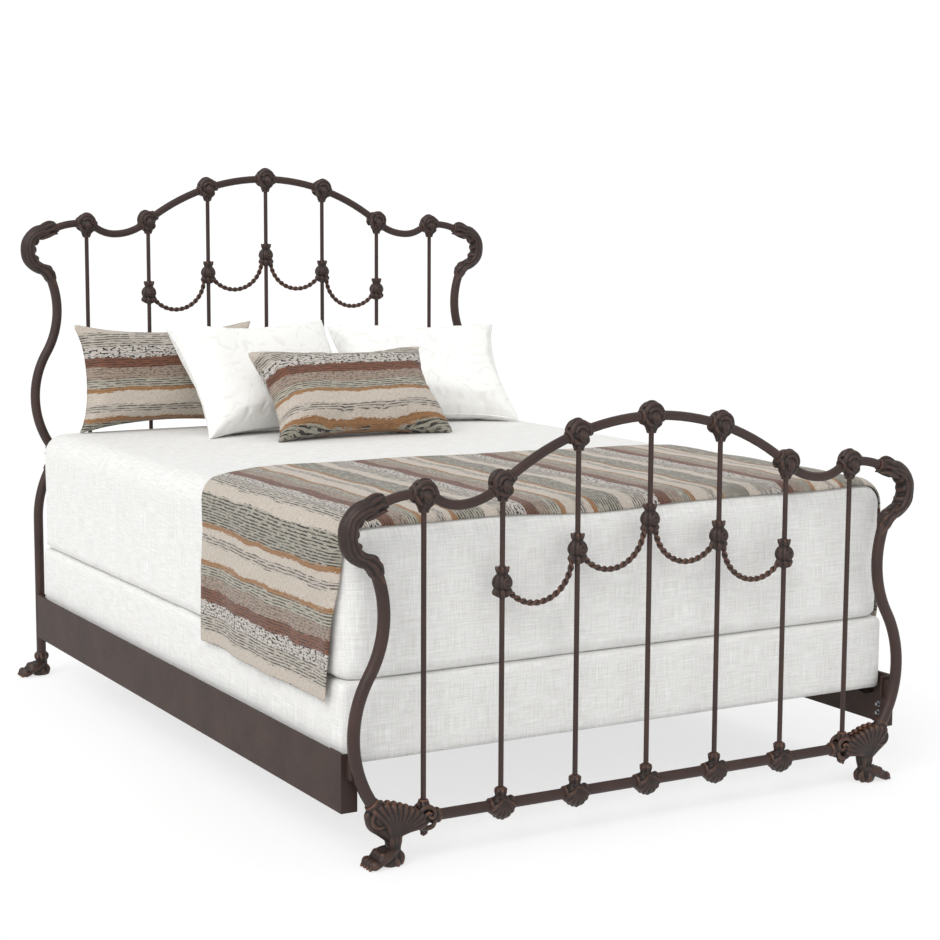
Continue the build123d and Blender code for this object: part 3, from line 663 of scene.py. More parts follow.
def rope_knot():
    gourd = around(9, [(7, 16, 4), (13.5, 9, 6), (16.5, -2, 7), (13, -11, 6), (7, -15, 4)])
    crown = around(7, [(6, 13, 5), (8, 20, 5.4), (11, 27, 5.4), (13.5, 31, 3.6)], turn=0.3)
    collar = around(7, [(7, -16, 5), (14, -21, 6.8), (13, -27, 6), (8, -31, 4)], turn=0.2)
    core = [lobe([(0, -30, 0, 9), (0, -8, 0, 14), (0, 6, 0, 13), (0, 16, 0, 8), (0, 28, 0, 10)])]
    rings = [hoop(0, 15, 0, 8.5, 8.5, 3, lean=pi / 2), hoop(0, -14, 0, 9.5, 9.5, 3, lean=pi / 2)]
    bud = [
        hoop(0, -1, 21, 7, 10, 2.6),
        lobe([(-2.4, -7, 21, 2.2), (-2.8, -1, 23, 2.8), (-1.6, 5, 21, 2)]),
        lobe([(2.4, -7, 21, 2.2), (2.8, -1, 23, 2.8), (1.6, 5, 21, 2)]),
    ]
    ports = [
        lobe([(side * 8, -13, 0, 8), (side * 13, -17, 0, 8.8), (side * 18, -22, 0, 7.6)])
        for side in (-1, 1)
    ]
    return gourd + crown + collar + core + rings + both_sides(bud) + ports


knots = []
for x in spindles[1:-1]:
    knots += shifted(rope_knot(), x, rope_knot_height(x))
on_both_boards(fused("foot_rope_knots_cast", knots, 1.2), "rope_knots")

# %% Bottom knots
bottom_rail_z = 95.5


def bottom_knot():
    line = sleeve([(32, 15), (28, 18), (22, 16), (17, 17), (11, 20)])
    body = [lobe([(a, 0, 0, r) for a, r in line], round_ends=False)]
    body.append(lobe([(0, -17, 0, 15), (0, 4, 0, 19), (0, 18, 0, 12)]))
    shell = []
    for step in range(-3, 4):
        a = radians(24 * step)
        shell.append(lobe([
            (5 * sin(a), 12, 15, 4),
            (17 * sin(a), 9 - 14 * cos(a), 20, 5.6),
            (26 * sin(a), 6 - 26 * cos(a), 16, 6.6),
            (24 * sin(a), 3 - 31 * cos(a), 7, 6.4),
        ]))
    shell.append(hoop(0, 10, 15, 5, 5, 2.4))
    neck = around(7, [(10, 13, 4.5), (9, 22, 4.2), (10.5, 29, 4.6)])
    crown = around(8, [(10, 30, 4.4), (11.5, 33, 4.4)], turn=0.2)
    lip = hoop(0, 37, 0, 8.2, 8.2, 3.2, lean=pi / 2)
    return body + both_sides(shell) + neck + crown + [lip]


knots = []
for x in spindles[1:-1]:
    knots += shifted(bottom_knot(), x, bottom_rail_z)
on_both_boards(fused("foot_bottom_knots_cast", knots, 1.4), "bottom_knots")

# %% [markdown]
# ## Corner leaves
# Each board's shoulder is one acanthus casting bent into a C. Its outer back is smooth.
# Long veins run round its faces, knuckles line the inside of the C, the upper leaf tip
# curls over the rail's end, and a pointed leaf lies down over the post.

# %% Corner casting
corner_centre = (711.6, 727)
corner_bend = 58.6
post_top = (713.6, 668)
waist_z = 550
waist_radius = 250
post_lean = asin((post_top[1] - waist_z) / waist_radius)


def on_bend(angle, inset, out, radius):
    """Point on the C at an angle from straight out, set in from its middle line."""
    reach = corner_bend - inset
    a = radians(angle)
    return (corner_centre[0] + reach * cos(a), corner_centre[1] + reach * sin(a), out, radius)


def on_post(along, side, out, radius):
    """Point near the post's top: along it downwards, and to its outer side."""
    x = post_top[0] - along * sin(post_lean) + side * cos(post_lean)
    z = post_top[1] - along * cos(post_lean) - side * sin(post_lean)
    return (x, z, out, radius)


def corner_leaf():
    middle = ((100, 16), (75, 19), (45, 20.5), (10, 20.5), (-30, 20), (-65, 18), (-92, 15))
    back = ((88, 9), (60, 14), (20, 15), (-20, 15), (-50, 12), (-72, 8))
    body = [
        lobe([on_bend(angle, 0, 0, radius) for angle, radius in middle]),
        lobe([on_bend(angle, -7, 0, radius) for angle, radius in back]),
        lobe([(706, 783.5, 0, 17), (690, 790, 0, 16.5), (678, 794, 0, 14.5)], round_ends=False),
        lobe([on_post(-2, 0, 0, 18), on_post(16, 0, 0, 17.5), on_post(28, 0, 0, 16)], round_ends=False),
    ]
    veins = []
    for inset, lift, start, stop in ((-6, 15, 82, -52), (1, 18, 92, -66), (9, 17.5, 98, -74)):
        run = np.linspace(start, stop, 9)
        thick = (3, 5.4, 6.2, 5, 6.4, 5, 6, 4.6, 3)
        sway = (0, 1.5, 0, -1.5, 0, 1.5, 0, -1.5, 0)
        veins.append(lobe([on_bend(a, inset + s, lift, r) for a, r, s in zip(run, thick, sway)]))
    knuckles = []
    for angle, size in ((72, 9), (40, 11), (6, 11), (-30, 10)):
        knuckles.append(lobe([
            on_bend(angle + 12, 8, 15, size * 0.5),
            on_bend(angle, 15, 11, size * 0.75),
            on_bend(angle - 8, 19, 3, size * 0.7),
        ]))
    tip = [
        lobe([(738, 776, 10, 5), (719, 792, 11, 6.5), (701, 801, 9, 6), (685, 803, 5, 3)]),
        lobe([(736, 768, 15, 4.5), (716, 780, 17, 6), (698, 788, 16, 5), (680, 789, 12, 2.5)]),
        lobe([(730, 760, 16, 4), (711, 768, 18, 5.5), (694, 775, 17, 4.5), (681, 775, 12, 2.2)]),
    ]
    crest = [
        lobe([(744, 778, 0, 7), (724, 797, 0, 8), (704, 808, 0, 6.5), (688, 809, 0, 3)]),
    ]
    leaf = [
        lobe([on_bend(-52, 2, 14, 5), on_post(4, 5, 16, 7), on_post(26, 3, 14, 6),
              on_post(45, 0, 12, 3.4), on_post(56, -1, 11, 1.4)]),
        lobe([on_bend(-46, -6, 10, 5), on_post(6, 14, 8, 6), on_post(26, 13, 6, 5), on_post(42, 11, 4, 2)]),
        lobe([on_bend(-60, 12, 12, 5), on_post(8, -9, 12, 6),
              on_post(24, -11, 8, 5), on_post(36, -11, 6, 2)]),
    ]
    return body + both_sides(veins + knuckles + tip + leaf) + crest


def mirrored(lobes):
    flip = np.array([-1, 1, 1])
    return [(skin * flip, [f[::-1] for f in faces]) for skin, faces in lobes]


leaf = corner_leaf()
for side, lobes in (("right", leaf), ("left", mirrored(leaf))):
    on_both_boards(fused(f"foot_corner_casting_{side}_cast", lobes, 1.4), f"corner_casting_{side}")

# %% [markdown]
# ## Claw feet
# The foot is one casting from the bottom rail's end to the floor. Flutes spread like a fan
# from the ankle up to the rail and the post, a scroll turns where the post enters, leaf
# curls wrap the rail's end, and the paw stands on four toes that point away from the bed.

# %% Fan and scroll
ankle_x = 662
ankle_z = 46
post_end = (698, 122)
hip_z = 287
hip_radius = 260.6
post_end_lean = asin((hip_z - post_end[1]) / hip_radius)
scroll_middle = (702, 112)
gather_share = 0.44
fan_middle_z = 96


def from_post_end(along, radius):
    return (post_end[0] + along * sin(post_end_lean), post_end[1] + along * cos(post_end_lean), 0, radius)


def fan(root_x, root_z):
    """The fan's flutes, rail end and scroll. The flutes gather above a root point below."""
    gather_z = root_z + gather_share * (fan_middle_z - root_z)
    under = (670, fan_middle_z)
    halfway = ((under[0] + root_x) / 2, (under[1] + root_z) / 2)
    rail_collar = ((548, 15), (553, 18), (560, 16), (568, 17), (574, 15))
    post_collar = ((-4, 19), (12, 18), (26, 17.5), (30, 15.5))
    body = [
        lobe([(572, bottom_rail_z, 0, 14), (604, 97, 0, 17), (640, 99, 0, 20),
              (676, 100, 0, 21), (698, 112, 0, 19)]),
        lobe([(*under, 0, 21), (*halfway, 0, 18), (root_x, root_z, 0, 15)]),
        lobe([from_post_end(along, radius) for along, radius in post_collar], round_ends=False),
        lobe([(x, bottom_rail_z, 0, radius) for x, radius in rail_collar], round_ends=False),
    ]
    rim = [(712, 131), (690, 139), (664, 136), (640, 128), (618, 119), (600, 106), (596, 88)]
    edge = smooth_line(rim, 11)
    flutes = []
    for step, (x, z) in enumerate(edge):
        lean = (step - 5) / 5
        foot = (root_x - 12 * lean, gather_z, 12, 4.4)
        knee = (root_x + (x - root_x) * 0.5, gather_z + (z - gather_z) * 0.5, 20, 5.4)
        flutes.append(lobe([foot, knee, (x, z - 5, 17, 7), (x + (x - root_x) * 0.02, z - 1, 9, 6.4)]))
    spiral = []
    for step in range(15):
        a = radians(-120 + 42 * step)
        reach = 21 * (1 - step / 17)
        spiral.append((
            scroll_middle[0] + reach * cos(a), scroll_middle[1] + reach * sin(a),
            15 + step * 0.35, 5.2 - step * 0.14,
        ))
    curls = [
        lobe([(604, 112, 14, 5), (588, 121, 14, 6), (573, 116, 14, 5.6),
              (567, 104, 15, 5), (574, 96, 17, 4.4), (583, 100, 18, 3.6)]),
        lobe([(606, 84, 14, 5), (590, 74, 13, 6), (573, 76, 14, 5.4), (566, 87, 15, 4.2)]),
        lobe([(600, 98, 18, 4), (586, 108, 19, 4), (578, 106, 19, 3)]),
        lobe([(596, 76, 8, 6), (586, 64, 6, 6), (590, 57, 4, 3.5)]),
    ]
    for fold in (-1, 0, 1):
        flutes.append(lobe([
            (root_x + 10 * fold, gather_z + 4, 11, 6),
            (root_x + 9 * fold, (gather_z + root_z) / 2, 12, 6.4),
            (root_x + 8 * fold, root_z - 6, 10, 5),
        ]))
    outer = [
        lobe([(722, 118, 0, 10), (712, 98, 0, 15), (692, 84, 0, 16), (root_x + 6, gather_z - 4, 0, 15)]),
    ]
    scroll = [lobe(spiral), pellet(*scroll_middle, 19, 5.5)]
    cup = shifted(spindle_cup(1), spindles[-1], bottom_rail_z)
    return body + both_sides(flutes + scroll + curls) + outer + cup


# %% Paw


def paw(x):
    lobes = [lobe([(x, 46, 0, 13), (x + 2, 30, 0, 18), (x + 8, 14, 0, 22)])]
    lobes += shifted(around(9, [(9, 52, 2.5), (12, 44, 4.6), (14.5, 36, 3)]), x, 0)
    for toe in range(4):
        spread = (toe - 1.5) * 12
        lobes.append(lobe([
            (x, 34, spread * 0.4, 11), (x + 16, 29, spread * 0.9, 12), (x + 32, 23, spread, 12),
            (x + 43, 14, spread * 1.08, 9.5), (x + 54, 12, spread * 1.12, 11.5),
        ]))
        lobes.append(pellet(x + 31, 29, spread, 8.5, (3, 0, 0)))
        lobes.append(lobe([(x + 61, 9, spread * 1.12, 6), (x + 66, 4, spread * 1.12, 4)]))
    for side in (-1, 1):
        heel = [(x - 8, 32, side * 7, 6), (x - 15, 20, side * 9, 8.5), (x - 12, 9, side * 10, 9)]
        lobes.append(lobe(heel))
        lobes.append(lobe([(x + 6, 26, side * 17, 6), (x + 2, 14, side * 20, 7), (x - 2, 6, side * 19, 6)]))
    return lobes


foot_cast = fan(ankle_x, ankle_z) + paw(ankle_x)
for side, lobes in (("right", foot_cast), ("left", mirrored(foot_cast))):
    claw = fused(f"claw_foot_{side}_cast", lobes, 1.6, floor=0.0)
    settle(claw, f"claw_foot_{side}", "rubbed_cast_iron")
    print(f"claw foot {side}: {len(claw.data.polygons)} faces")

# %% Headboard's lower castings and feet
leg_x = 756
leg_top_z = 645
leg_bend_z = 480
leg_bend_radius = 315
leg_end = (709, leg_top_z - headboard_rise)
leg_lean = asin((leg_top_z - leg_bend_z) / leg_bend_radius)
leg_collar = ((-14, 18), (10, 18.5), (24, 17.5), (28, 15.5))


def down_leg(along, radius):
    return (leg_end[0] + along * sin(leg_lean), leg_end[1] - along * cos(leg_lean), 0, radius)


lower = fan(704, 78) + [
    lobe([down_leg(along, radius) for along, radius in leg_collar], round_ends=False),
]
leg_foot = paw(leg_x)
leg_foot += shifted(around(10, [(14, 66, 4), (17.5, 59, 5.6), (16, 50, 4)]), leg_x, 0)
leg_foot += [
    hoop(leg_x, 67, 0, 15.5, 15.5, 3, lean=pi / 2),
    lobe([(leg_x, 66, 0, 16), (leg_x, 40, 0, 15)], round_ends=False),
]
for side, turned in (("right", list), ("left", mirrored)):
    casting = fused(f"head_lower_casting_{side}_cast", turned(lower), 1.6)
    casting.location = (0, board_gap * MM, headboard_rise * MM)
    settle(casting, f"head_lower_casting_{side}", "rubbed_cast_iron")
    standing = fused(f"head_foot_{side}_cast", turned(leg_foot), 1.6, floor=0.0)
    standing.location = (0, board_gap * MM, 0)
    settle(standing, f"head_foot_{side}", "rubbed_cast_iron")
print("headboard castings stand on their own legs")

# %% [markdown]
# ## Twisted swags
# The swags are rods twisted from two strands while hot and bent to a curve, so they are
# stiff iron and not rope. Each strand winds round the swag's middle line.

# %% Swags
rope_bend_radius = 93
strand_radius = 3.9
strand_offset = 3.5
strand_pitch = 34
strand_count = 2
strand_step = 2.2


def swag(x):
    start = np.array([x + rope_port_out, rope_knot_height(x) - rope_port_drop])
    next_x = x + spindle_pitch
    finish = np.array([next_x - rope_port_out, rope_knot_height(next_x) - rope_port_drop])
    middle, chord = (start + finish) / 2, finish - start
    span = np.linalg.norm(chord)
    upward = np.array([-chord[1], chord[0]]) / span
    centre = middle + upward * sqrt(rope_bend_radius**2 - (span / 2) ** 2)
    first = atan2(*(start - centre)[::-1])
    last = atan2(*(finish - centre)[::-1])
    if first > last:
        first -= 2 * pi
    length = rope_bend_radius * (last - first)
    strands = []
    steps = int(length / strand_step)
    for strand in range(strand_count):
        points = []
        for step in range(steps + 1):
            a = first + (last - first) * step / steps
            twist = 2 * pi * (length * step / steps / strand_pitch + strand / strand_count)
            reach = rope_bend_radius + strand_offset * cos(twist)
            place = (centre[0] + reach * cos(a), centre[1] + reach * sin(a))
            points.append((*place, strand_offset * sin(twist), strand_radius))
        strands.append(lobe(points, density=1, sides=12))
    return strands, length


strands = []
for x in spindles[1:-2]:
    twisted, length = swag(x)
    strands += twisted
on_both_boards(fused("foot_rope_swags_twisted", strands, 0.9, ease=1, full=0.0006), "rope_swags")
print(f"each swag is {length:.0f} mm of twisted rod")

# %% [markdown]
# ## Mattress and box spring
# Both wear tailored linen covers. The mattress's cover is rounded along the top edge,
# crowned a little in the middle, and hangs in soft upright folds that end at its hem, just
# over the box spring. The surface is worked out from one rule that the throw also follows,
# so the throw lies on it everywhere.

# %% Mattress surface
mattress_half_width = 760
mattress_front = 50
mattress_length = 2028
mattress_bottom = 398.6
mattress_top = 742.3
edge_radius = 62
core_half = mattress_half_width - edge_radius
core_front = mattress_front + edge_radius
core_top = mattress_top - edge_radius
crown = 7


def crown_at(x, y):
    """Extra height of the mattress's top, from the foot plane's y."""
    across = 1 - np.minimum(np.abs(x) / mattress_half_width, 1) ** 4
    from_middle = np.abs(y - mattress_front - mattress_length / 2)
    along = 1 - np.minimum(from_middle / (mattress_length / 2), 1) ** 8
    return crown * across * along


def fold_depth(x, y, z, up):
    """How far the cover sinks in its soft folds, which run upright and fade at the top."""
    run = x * 0.9 + y * 1.1
    wave = np.sin(run / 61 + 1.1) + 0.8 * np.sin(run / 37.0 + 2.3 + z / 190)
    wave += 0.6 * np.sin(run / 23.5 + 0.4)
    crease = np.exp(-(((run + 330 + 0.12 * z) % 520 - 260) / 22) ** 2)
    low = np.clip((mattress_top - 40 - z) / 120, 0, 1)
    return (1.3 * (wave + 2.4) * 0.5 + 4.0 * crease) * low * (1 - up)


# %% Covered blocks


def grid_box(half_x, y0, y1, z0, z1, cell):
    """Vertices and faces of a closed box whose sides are cut into cells."""
    mesh = bmesh.new()
    spans = ((-half_x, half_x), (y0, y1), (z0, z1))
    lines = [np.linspace(a, b, max(2, round((b - a) / cell)) + 1) for a, b in spans]
    for fixed in range(3):
        u, v = [axis for axis in range(3) if axis != fixed]
        for value in (lines[fixed][0], lines[fixed][-1]):
            rows = []
            for a in lines[u]:
                row = []
                for b in lines[v]:
                    point = [0, 0, 0]
                    point[fixed], point[u], point[v] = value, a, b
                    row.append(mesh.verts.new(point))
                rows.append(row)
            for i in range(len(rows) - 1):
                for j in range(len(rows[0]) - 1):
                    mesh.faces.new((rows[i][j], rows[i + 1][j], rows[i + 1][j + 1], rows[i][j + 1]))
    bmesh.ops.remove_doubles(mesh, verts=mesh.verts, dist=0.01)
    bmesh.ops.recalc_face_normals(mesh, faces=mesh.faces)
    return mesh


def covered_block(name, bm, shape):
    """Moves a gridded box's points to their place on the cover and lays flat coordinates on it."""
    bm.verts.ensure_lookup_table()
    points = np.array([v.co for v in bm.verts])
    placed, along = shape(points)
    for vert, co in zip(bm.verts, placed):
        vert.co = (co[0] * MM, (foot_y + co[1]) * MM, co[2] * MM)
    bm.normal_update()
    layer = bm.loops.layers.uv.new("cloth")
    for face in bm.faces:
        n = [abs(c) for c in face.normal]
        u, v = ((1, 2), (0, 2), (0, 1))[n.index(max(n))]
        for loop in face.loops:
            loop[layer].uv = (loop.vert.co[u], loop.vert.co[v])
    mesh = bpy.data.meshes.new(name)
    bm.to_mesh(mesh)
    bm.free()
    mesh.shade_smooth()
    return in_scene(name, mesh)


def rounded(points, half_x, y0, y1, z0, z1, radius, foot_radius):
    """Points of a box pushed onto its rounded form, with how much each faces up."""
    x, y, z = points.T
    round_z = np.where(z > (z0 + z1) / 2, radius, foot_radius)
    inner = np.column_stack([
        np.clip(x, -half_x + radius, half_x - radius),
        np.clip(y, y0 + radius, y1 - radius),
        np.clip(z, z0 + foot_radius, z1 - radius),
    ])
    reach = np.column_stack([np.full(len(x), radius), np.full(len(x), radius), round_z])
    scaled = (points - inner) / reach
    length = np.linalg.norm(scaled, axis=1)[:, None]
    direction = scaled / np.maximum(length, 1e-9)
    return inner + direction * reach, direction


mattress_block = (
    mattress_half_width, mattress_front, mattress_front + mattress_length, mattress_bottom, mattress_top,
)
mattress_foot_radius = 5
mattress_cell = 15
hem_height = 40


def mattress_shape(points):
    placed, direction = rounded(points, *mattress_block, edge_radius, mattress_foot_radius)
    x, y, z = placed.T
    up = np.abs(direction[:, 2])
    sink = fold_depth(x, y, z, up)
    sideways = direction * [1, 1, 0]
    placed = placed - sideways * sink[:, None]
    placed[:, 2] += np.where(direction[:, 2] > 0, crown_at(x, y) * direction[:, 2], 0)
    hem = np.clip((mattress_bottom + hem_height - z) / hem_height, 0, 1) * (1 - up)
    placed += sideways * (hem * 2.2 * np.sin((x + y) / 47))[:, None]
    return placed, direction


mattress = covered_block("mattress_cover", grid_box(*mattress_block, mattress_cell), mattress_shape)
settle(mattress, "mattress", "linen_cover")
print(f"mattress {2 * mattress_half_width} x {mattress_length} x {mattress_top - mattress_bottom:.0f} mm")

# %% Box spring
box_spring_half = 757
box_spring_bottom = 217
box_spring_top = 398
box_spring_front = 53
box_spring_length = 2022
box_spring_block = (
    box_spring_half, box_spring_front, box_spring_front + box_spring_length,
    box_spring_bottom, box_spring_top,
)
box_spring_top_radius = 16
box_spring_foot_radius = 8
box_spring_cell = 14
low_on_cover = 420.0


def box_spring_shape(points):
    placed, direction = rounded(points, *box_spring_block, box_spring_top_radius, box_spring_foot_radius)
    x, y, z = placed.T
    up = np.abs(direction[:, 2])
    sink = fold_depth(x + 140, y - 90, np.full(len(z), low_on_cover), up) * 0.55
    return placed - direction * [1, 1, 0] * (sink * (1 - up))[:, None], direction


box_spring = covered_block(
    "box_spring_cover", grid_box(*box_spring_block, box_spring_cell), box_spring_shape,
)
settle(box_spring, "box_spring", "linen_cover")
print(f"box spring {2 * box_spring_half} x {box_spring_length} x {box_spring_top - box_spring_bottom} mm")

# %% [markdown]
# ## Throw
# The throw is one thick woven cloth laid over the foot end. It hangs to just above the
# side rails. Its back edge has been pulled askew, so it runs slantwise where it comes over
# the left edge, and its front edge follows the mattress's rounded front.

# %% Throw
throw_thickness = 4.5
throw_offset = throw_thickness / 2 + 1.0
throw_hem_z = 352
drop = core_top - throw_hem_z
bend = edge_radius * pi / 2
throw_width = 2 * drop + 2 * bend + 2 * core_half


def across_mattress(run):
    """Core point (x, z), direction (x, z) for a distance from the left hem, over the mattress."""
    corner = run - drop
    flat = corner - bend
    mirror = 1
    if flat > core_half:
        mirror = -1
        run = throw_width - run
        corner = run - drop
        flat = corner - bend
    if corner <= 0:
        return mirror * -core_half, throw_hem_z + run, mirror * -1.0, 0.0
    if flat <= 0:
        a = corner / edge_radius
        return mirror * -core_half, core_top, mirror * -cos(a), sin(a)
    return mirror * (flat - core_half), core_top, 0.0, 1.0


def front_edge(run):
    near = min(run, throw_width - run)
    edge = np.interp(near, [0, 120, 255, 360, 480, 900], [104, 84, 68, 66, 70, 64])
    return edge + 3 * sin(run / 95)


def back_edge(run):
    pulled = [0, 150, 270, 340, 400, 470, 560, 640, 900, 1300, 1750, 1850, 2000, throw_width]
    edge = [796, 786, 784, 800, 850, 912, 950, 956, 938, 915, 905, 900, 880, 870]
    return np.interp(run, pulled, edge) + 4 * sin(run / 130)


rows, columns = 96, 240
throw_points, throw_flat = [], []
for i in range(columns + 1):
    run = throw_width * i / columns
    cx, cz, nx, nz = across_mattress(run)
    y0, y1 = front_edge(run), back_edge(run)
    hang = max(0.0, 1 - nz) * min(1.0, abs(core_top - cz) / 150)
    for j in range(rows + 1):
        y = y0 + (y1 - y0) * j / rows
        into = max(0.0, core_front - y)
        radius = edge_radius + throw_offset
        reach = sqrt(max(radius**2 - into**2, 100.0))
        ripple = 1.4 * (1 + sin(y / 41 + run / 260)) + 1.1 * (1 + sin(run / 57 - y / 300)) * nz
        flare = hang * (4.5 * (1 + sin(y / 66 + 0.7)) + 2.0 * (1 + sin(y / 29)))
        lift = ripple + flare
        x = cx + nx * (reach + lift)
        z = cz + nz * (reach + lift * 0.8) + crown_at(cx, y) * nz
        z -= 4 * (1 - nz) * sin(y / 170)
        throw_points.append((x * MM, (foot_y + y) * MM, z * MM))
        throw_flat.append((y * MM, run * MM))
throw_faces = []
for i in range(columns):
    for j in range(rows):
        a = i * (rows + 1) + j
        throw_faces.append((a, a + 1, a + rows + 2, a + rows + 1))
throw_mesh = bpy.data.meshes.new("throw_cloth")
throw_mesh.from_pydata(throw_points, [], throw_faces)
layer = throw_mesh.uv_layers.new(name="cloth")
loops = np.empty(len(throw_mesh.loops), int)
throw_mesh.loops.foreach_get("vertex_index", loops)
layer.data.foreach_set("uv", np.array(throw_flat)[loops].ravel())
throw = in_scene("throw_cloth", throw_mesh)
thick = throw.modifiers.new("thickness", "SOLIDIFY")
thick.thickness = throw_thickness * MM
thick.offset = 0
softened = throw.modifiers.new("soft", "SUBSURF")
softened.levels = softened.render_levels = 1
applied(throw)
throw.data.shade_smooth()
settle(throw, "throw", "woven_throw")
print(f"throw {throw_width:.0f} mm from hem to hem")

# %% [markdown]
# ## Pillows
# A pillow is two flat panels sewn round the edge and filled, so its middle crowns, its
# sides draw in between the corners and small creases run in from the seam. The two panels
# are blown up as cloth, then set leaning as they were left on the bed.

# %% Pillow blanks and filling
filling_frames = 20
draw_in = 26


def pillow_blank(name, width, height, thickness):
    """A slim closed cushion with drawn-in sides and pointed corners."""
    count = 40
    verts, faces = [], []
    rows = int(count * height / width)
    for side in (1, -1):
        for j in range(rows + 1):
            for i in range(count + 1):
                u, v = 2 * i / count - 1, 2 * j / rows - 1
                x = u * (width / 2 - draw_in * (1 - v * v) * abs(u) ** 3)
                y = v * (height / 2 - draw_in * (1 - u * u) * abs(v) ** 3)
                puff = ((1 - u**4) * (1 - v**4)) ** 0.55
                verts.append((x * MM, y * MM, side * (5 + (thickness / 2 - 5) * puff) * MM))
    step = (rows + 1) * (count + 1)
    for j in range(rows):
        for i in range(count):
            a = j * (count + 1) + i
            b = a + count + 1
            faces.append((a, a + 1, b + 1, b))
            faces.append((a + step, b + step, b + 1 + step, a + 1 + step))
    rim = list(range(count + 1))
    rim += [j * (count + 1) + count for j in range(1, rows + 1)]
    rim += [rows * (count + 1) + i for i in range(count - 1, -1, -1)]
    rim += [j * (count + 1) for j in range(rows - 1, 0, -1)]
    for k in range(len(rim)):
        a, b = rim[k], rim[(k + 1) % len(rim)]
        faces.append((b, a, a + step, b + step))
    mesh = bpy.data.meshes.new(name)
    mesh.from_pydata(verts, [], faces)
    return in_scene(name, mesh)


cloth_grain = 6
filling_pressure = 4
filling_limit = 16


def fill(piece):
    """Blows the blank up as cloth, holding every point to at most the limit of movement."""
    remesh = piece.modifiers.new("even", "REMESH")
    remesh.mode = "VOXEL"
    remesh.voxel_size = cloth_grain * MM
    applied(piece)
    before = vertex_places(piece.data)
    cloth = piece.modifiers.new("cloth", "CLOTH")
    cloth.settings.quality = 5
    cloth.settings.mass = 0.3
    cloth.settings.tension_stiffness = 12
    cloth.settings.compression_stiffness = 12
    cloth.settings.shear_stiffness = 5
    cloth.settings.bending_stiffness = 0.4
    cloth.settings.use_pressure = True
    cloth.settings.uniform_pressure_force = filling_pressure
    cloth.settings.effector_weights.gravity = 0
    cloth.collision_settings.use_collision = False
    cloth.collision_settings.use_self_collision = False
    scene = bpy.context.scene
    for step in range(1, filling_frames + 1):
        scene.frame_set(step)
    applied(piece)
    scene.frame_set(1)
    after = vertex_places(piece.data)
    moved = after - before
    distance = np.linalg.norm(moved, axis=1)[:, None]
    after = before + moved * np.minimum(1, filling_limit * MM / np.maximum(distance, 1e-9))
    piece.data.vertices.foreach_set("co", after.ravel())


crumple_depth = 2.2
seam_radius = 2.0
pillow_sink = 4


def crumple(piece, seed):
    """Creases that run in from the seam, and broad dents where someone has leant on it."""
    co = vertex_places(piece.data) / MM
    width, height, thick = np.abs(co).max(0)
    x, y, z = co.T
    u, v = x / width, y / height
    edge = np.maximum(np.abs(u), np.abs(v))
    angle = np.arctan2(v, u)
    near = np.clip((edge - 0.45) / 0.55, 0, 1) * np.clip((1.02 - edge) / 0.12, 0, 1)
    creases = np.sin(angle * 17 + seed) * 0.6 + np.sin(angle * 29 + seed * 2.3 + edge * 3) * 0.4
    dents = np.sin(x / 83 + seed) * np.sin(y / 71 + seed * 1.7) + 0.5 * np.sin(x / 41 - y / 57 + seed)
    side = np.sign(z) * np.clip(np.abs(z) / 12, 0, 1)
    co[:, 2] += side * crumple_depth * (creases * near + 1.6 * dents * (1 - edge**4))
    piece.data.vertices.foreach_set("co", (co * MM).ravel())


def seam(piece):
    """A corded seam round the widest line of the pillow, as a separate run of the same cloth."""
    co = vertex_places(piece.data) / MM
    flat = co[np.abs(co[:, 2]) < 9]
    half = np.abs(flat).max(0)
    angle = np.arctan2(flat[:, 1] / half[1], flat[:, 0] / half[0])
    edge = np.maximum(np.abs(flat[:, 0]) / half[0], np.abs(flat[:, 1]) / half[1])
    slots = np.linspace(-pi, pi, 161)
    line = []
    for a, b in zip(slots[:-1], slots[1:]):
        inside = (angle >= a) & (angle < b)
        if inside.any():
            pick = np.argmax(np.where(inside, edge, 0))
            line.append(flat[pick] * [1, 1, 0])
    line = np.array(line)
    for _ in range(2):
        line = (np.roll(line, 1, 0) + 2 * line + np.roll(line, -1, 0)) / 4
    closed = np.vstack([line, line[:2]])
    return lobe([(*p, seam_radius) for p in closed], round_ends=False, sides=8, density=2)


def sewn_pillow(name, size, seed):
    piece = pillow_blank(name, *size)
    fill(piece)
    crumple(piece, seed)
    softened = piece.modifiers.new("soft", "SUBSURF")
    softened.levels = softened.render_levels = 1
    applied(piece)
    skin, faces = seam(piece)
    cord = bmesh.new()
    cord.from_mesh(piece.data)
    added = [cord.verts.new(p * MM) for p in skin]
    for face in faces:
        cord.faces.new([added[i] for i in face])
    cord.to_mesh(piece.data)
    cord.free()
    piece.data.shade_smooth()
    return piece


def lean_on_bed(piece, middle_x, middle_y, lean, turn):
    """Stands the pillow on the mattress, leaning back by one angle and turned by the other."""
    tilt, swing = radians(lean), radians(turn)
    facing = Vector((sin(swing) * cos(tilt), -cos(swing) * cos(tilt), sin(tilt)))
    sideways = Vector((cos(swing), sin(swing), 0))
    stance = Matrix((sideways, facing.cross(sideways), facing)).transposed()
    lowest = min((stance @ v.co).z for v in piece.data.vertices)
    bed_top = mattress_top + crown - pillow_sink
    place = Vector((middle_x * MM, (foot_y + middle_y) * MM, bed_top * MM - lowest))
    piece.matrix_world = Matrix.Translation(place) @ stance.to_4x4()


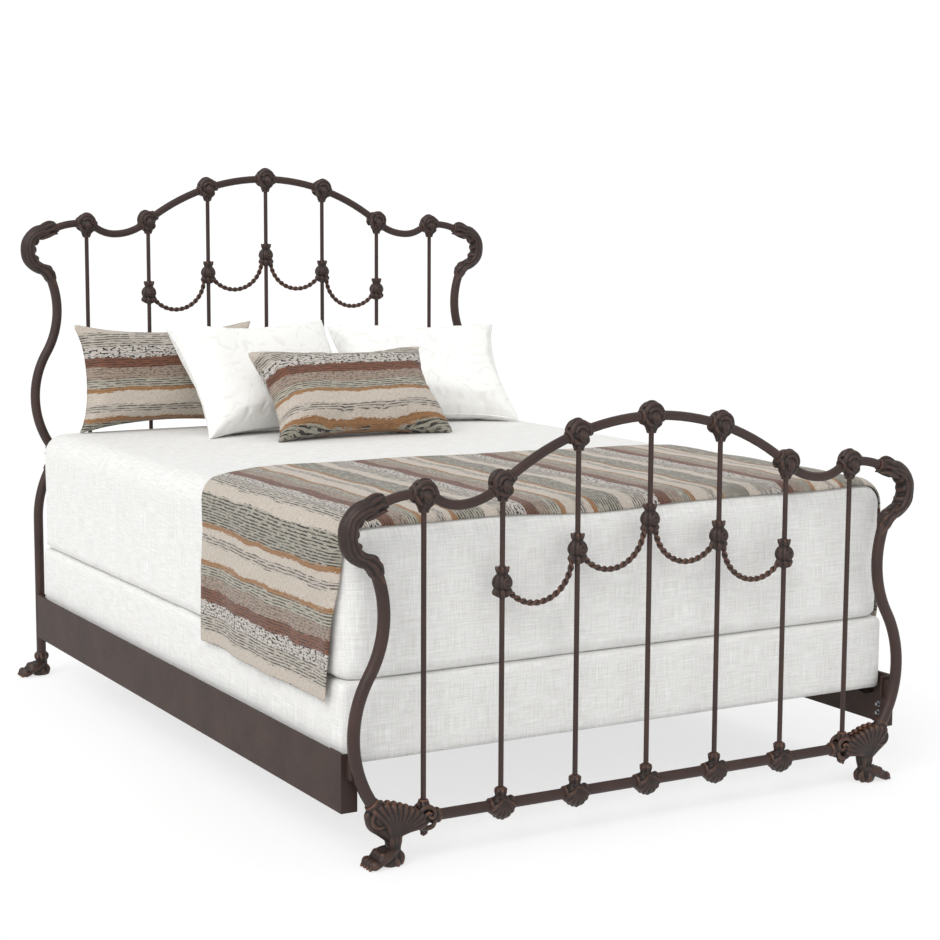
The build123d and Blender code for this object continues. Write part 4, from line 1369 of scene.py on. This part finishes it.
# %% Four pillows
striped_size = (590, 345, 118)
white_size = (580, 426, 130)
pillows = (
    ("striped_pillow_back", striped_size, "woven_pillow", 1.0, (-375, 2016, 7, 0)),
    ("white_pillow_left", white_size, "quilted_pillow", 2.1, (-136, 1806, 39, 8)),
    ("white_pillow_right", white_size, "quilted_pillow", 3.4, (431, 1872, 46, -13)),
    ("striped_pillow_front", striped_size, "woven_pillow", 4.9, (25, 1565, 42, 0)),
)
for node, size, slot, seed, stance in pillows:
    piece = sewn_pillow(f"{node}_sewn", size, seed)
    lean_on_bed(piece, *stance)
    settle(piece, node, slot)
    print(f"{node}: {len(piece.data.polygons)} faces")

# %% [markdown]
# ## Floor and light
# The bed stands on a plain pale floor under even studio light: a white surround, and one
# broad soft lamp from the front left that gives the folds and castings their shape.

# %% Floor and lamps
floor_reach = 60
floor_share_lit = 0.62
corners = [(x * floor_reach, y * floor_reach, 0) for x, y in ((-1, -1), (1, -1), (1, 1), (-1, 1))]
floor_mesh = bpy.data.meshes.new("floor")
floor_mesh.from_pydata(corners, [], [(0, 1, 2, 3)])
floor = in_scene("floor", floor_mesh)
floor_material, tree, shader = new_material("pale_floor")
shader.inputs["Base Color"].default_value = grey(0.86)
shader.inputs["Roughness"].default_value = 0.9
shader.inputs["Specular IOR Level"].default_value = 0.1
glow = add_node(tree, "Emission", {"Color": grey(1), "Strength": 1.12})
path = add_node(tree, "LightPath")
seen = calc(tree, "MAXIMUM", path.outputs["Is Camera Ray"], path.outputs["Is Glossy Ray"])
seen = calc(tree, "MAXIMUM", seen, path.outputs["Is Transmission Ray"])
share = calc(tree, "MULTIPLY", seen, floor_share_lit)
even = add_node(tree, "MixShader", {0: share, 1: shader.outputs[0], 2: glow.outputs[0]})
tree.links.new(even.outputs[0], tree.nodes["Material Output"].inputs["Surface"])
floor.data.materials.append(floor_material)

world = bpy.data.worlds.new("surround")
bpy.context.scene.world = world
world.use_nodes = True
tree = world.node_tree
path = add_node(tree, "LightPath")
seen = calc(tree, "MAXIMUM", path.outputs["Is Camera Ray"], path.outputs["Is Transmission Ray"])
strength = add_node(tree, "MapRange", {0: seen, 3: 0.8, 4: 1.05})
background = tree.nodes["Background"]
background.inputs["Color"].default_value = grey(1)
tree.links.new(strength.outputs[0], background.inputs["Strength"])

lamp = bpy.data.lights.new("soft_lamp", "SUN")
lamp.energy = 1.3
lamp.angle = radians(35)
in_scene("soft_lamp", lamp).rotation_euler = (radians(48), 0, radians(-58))
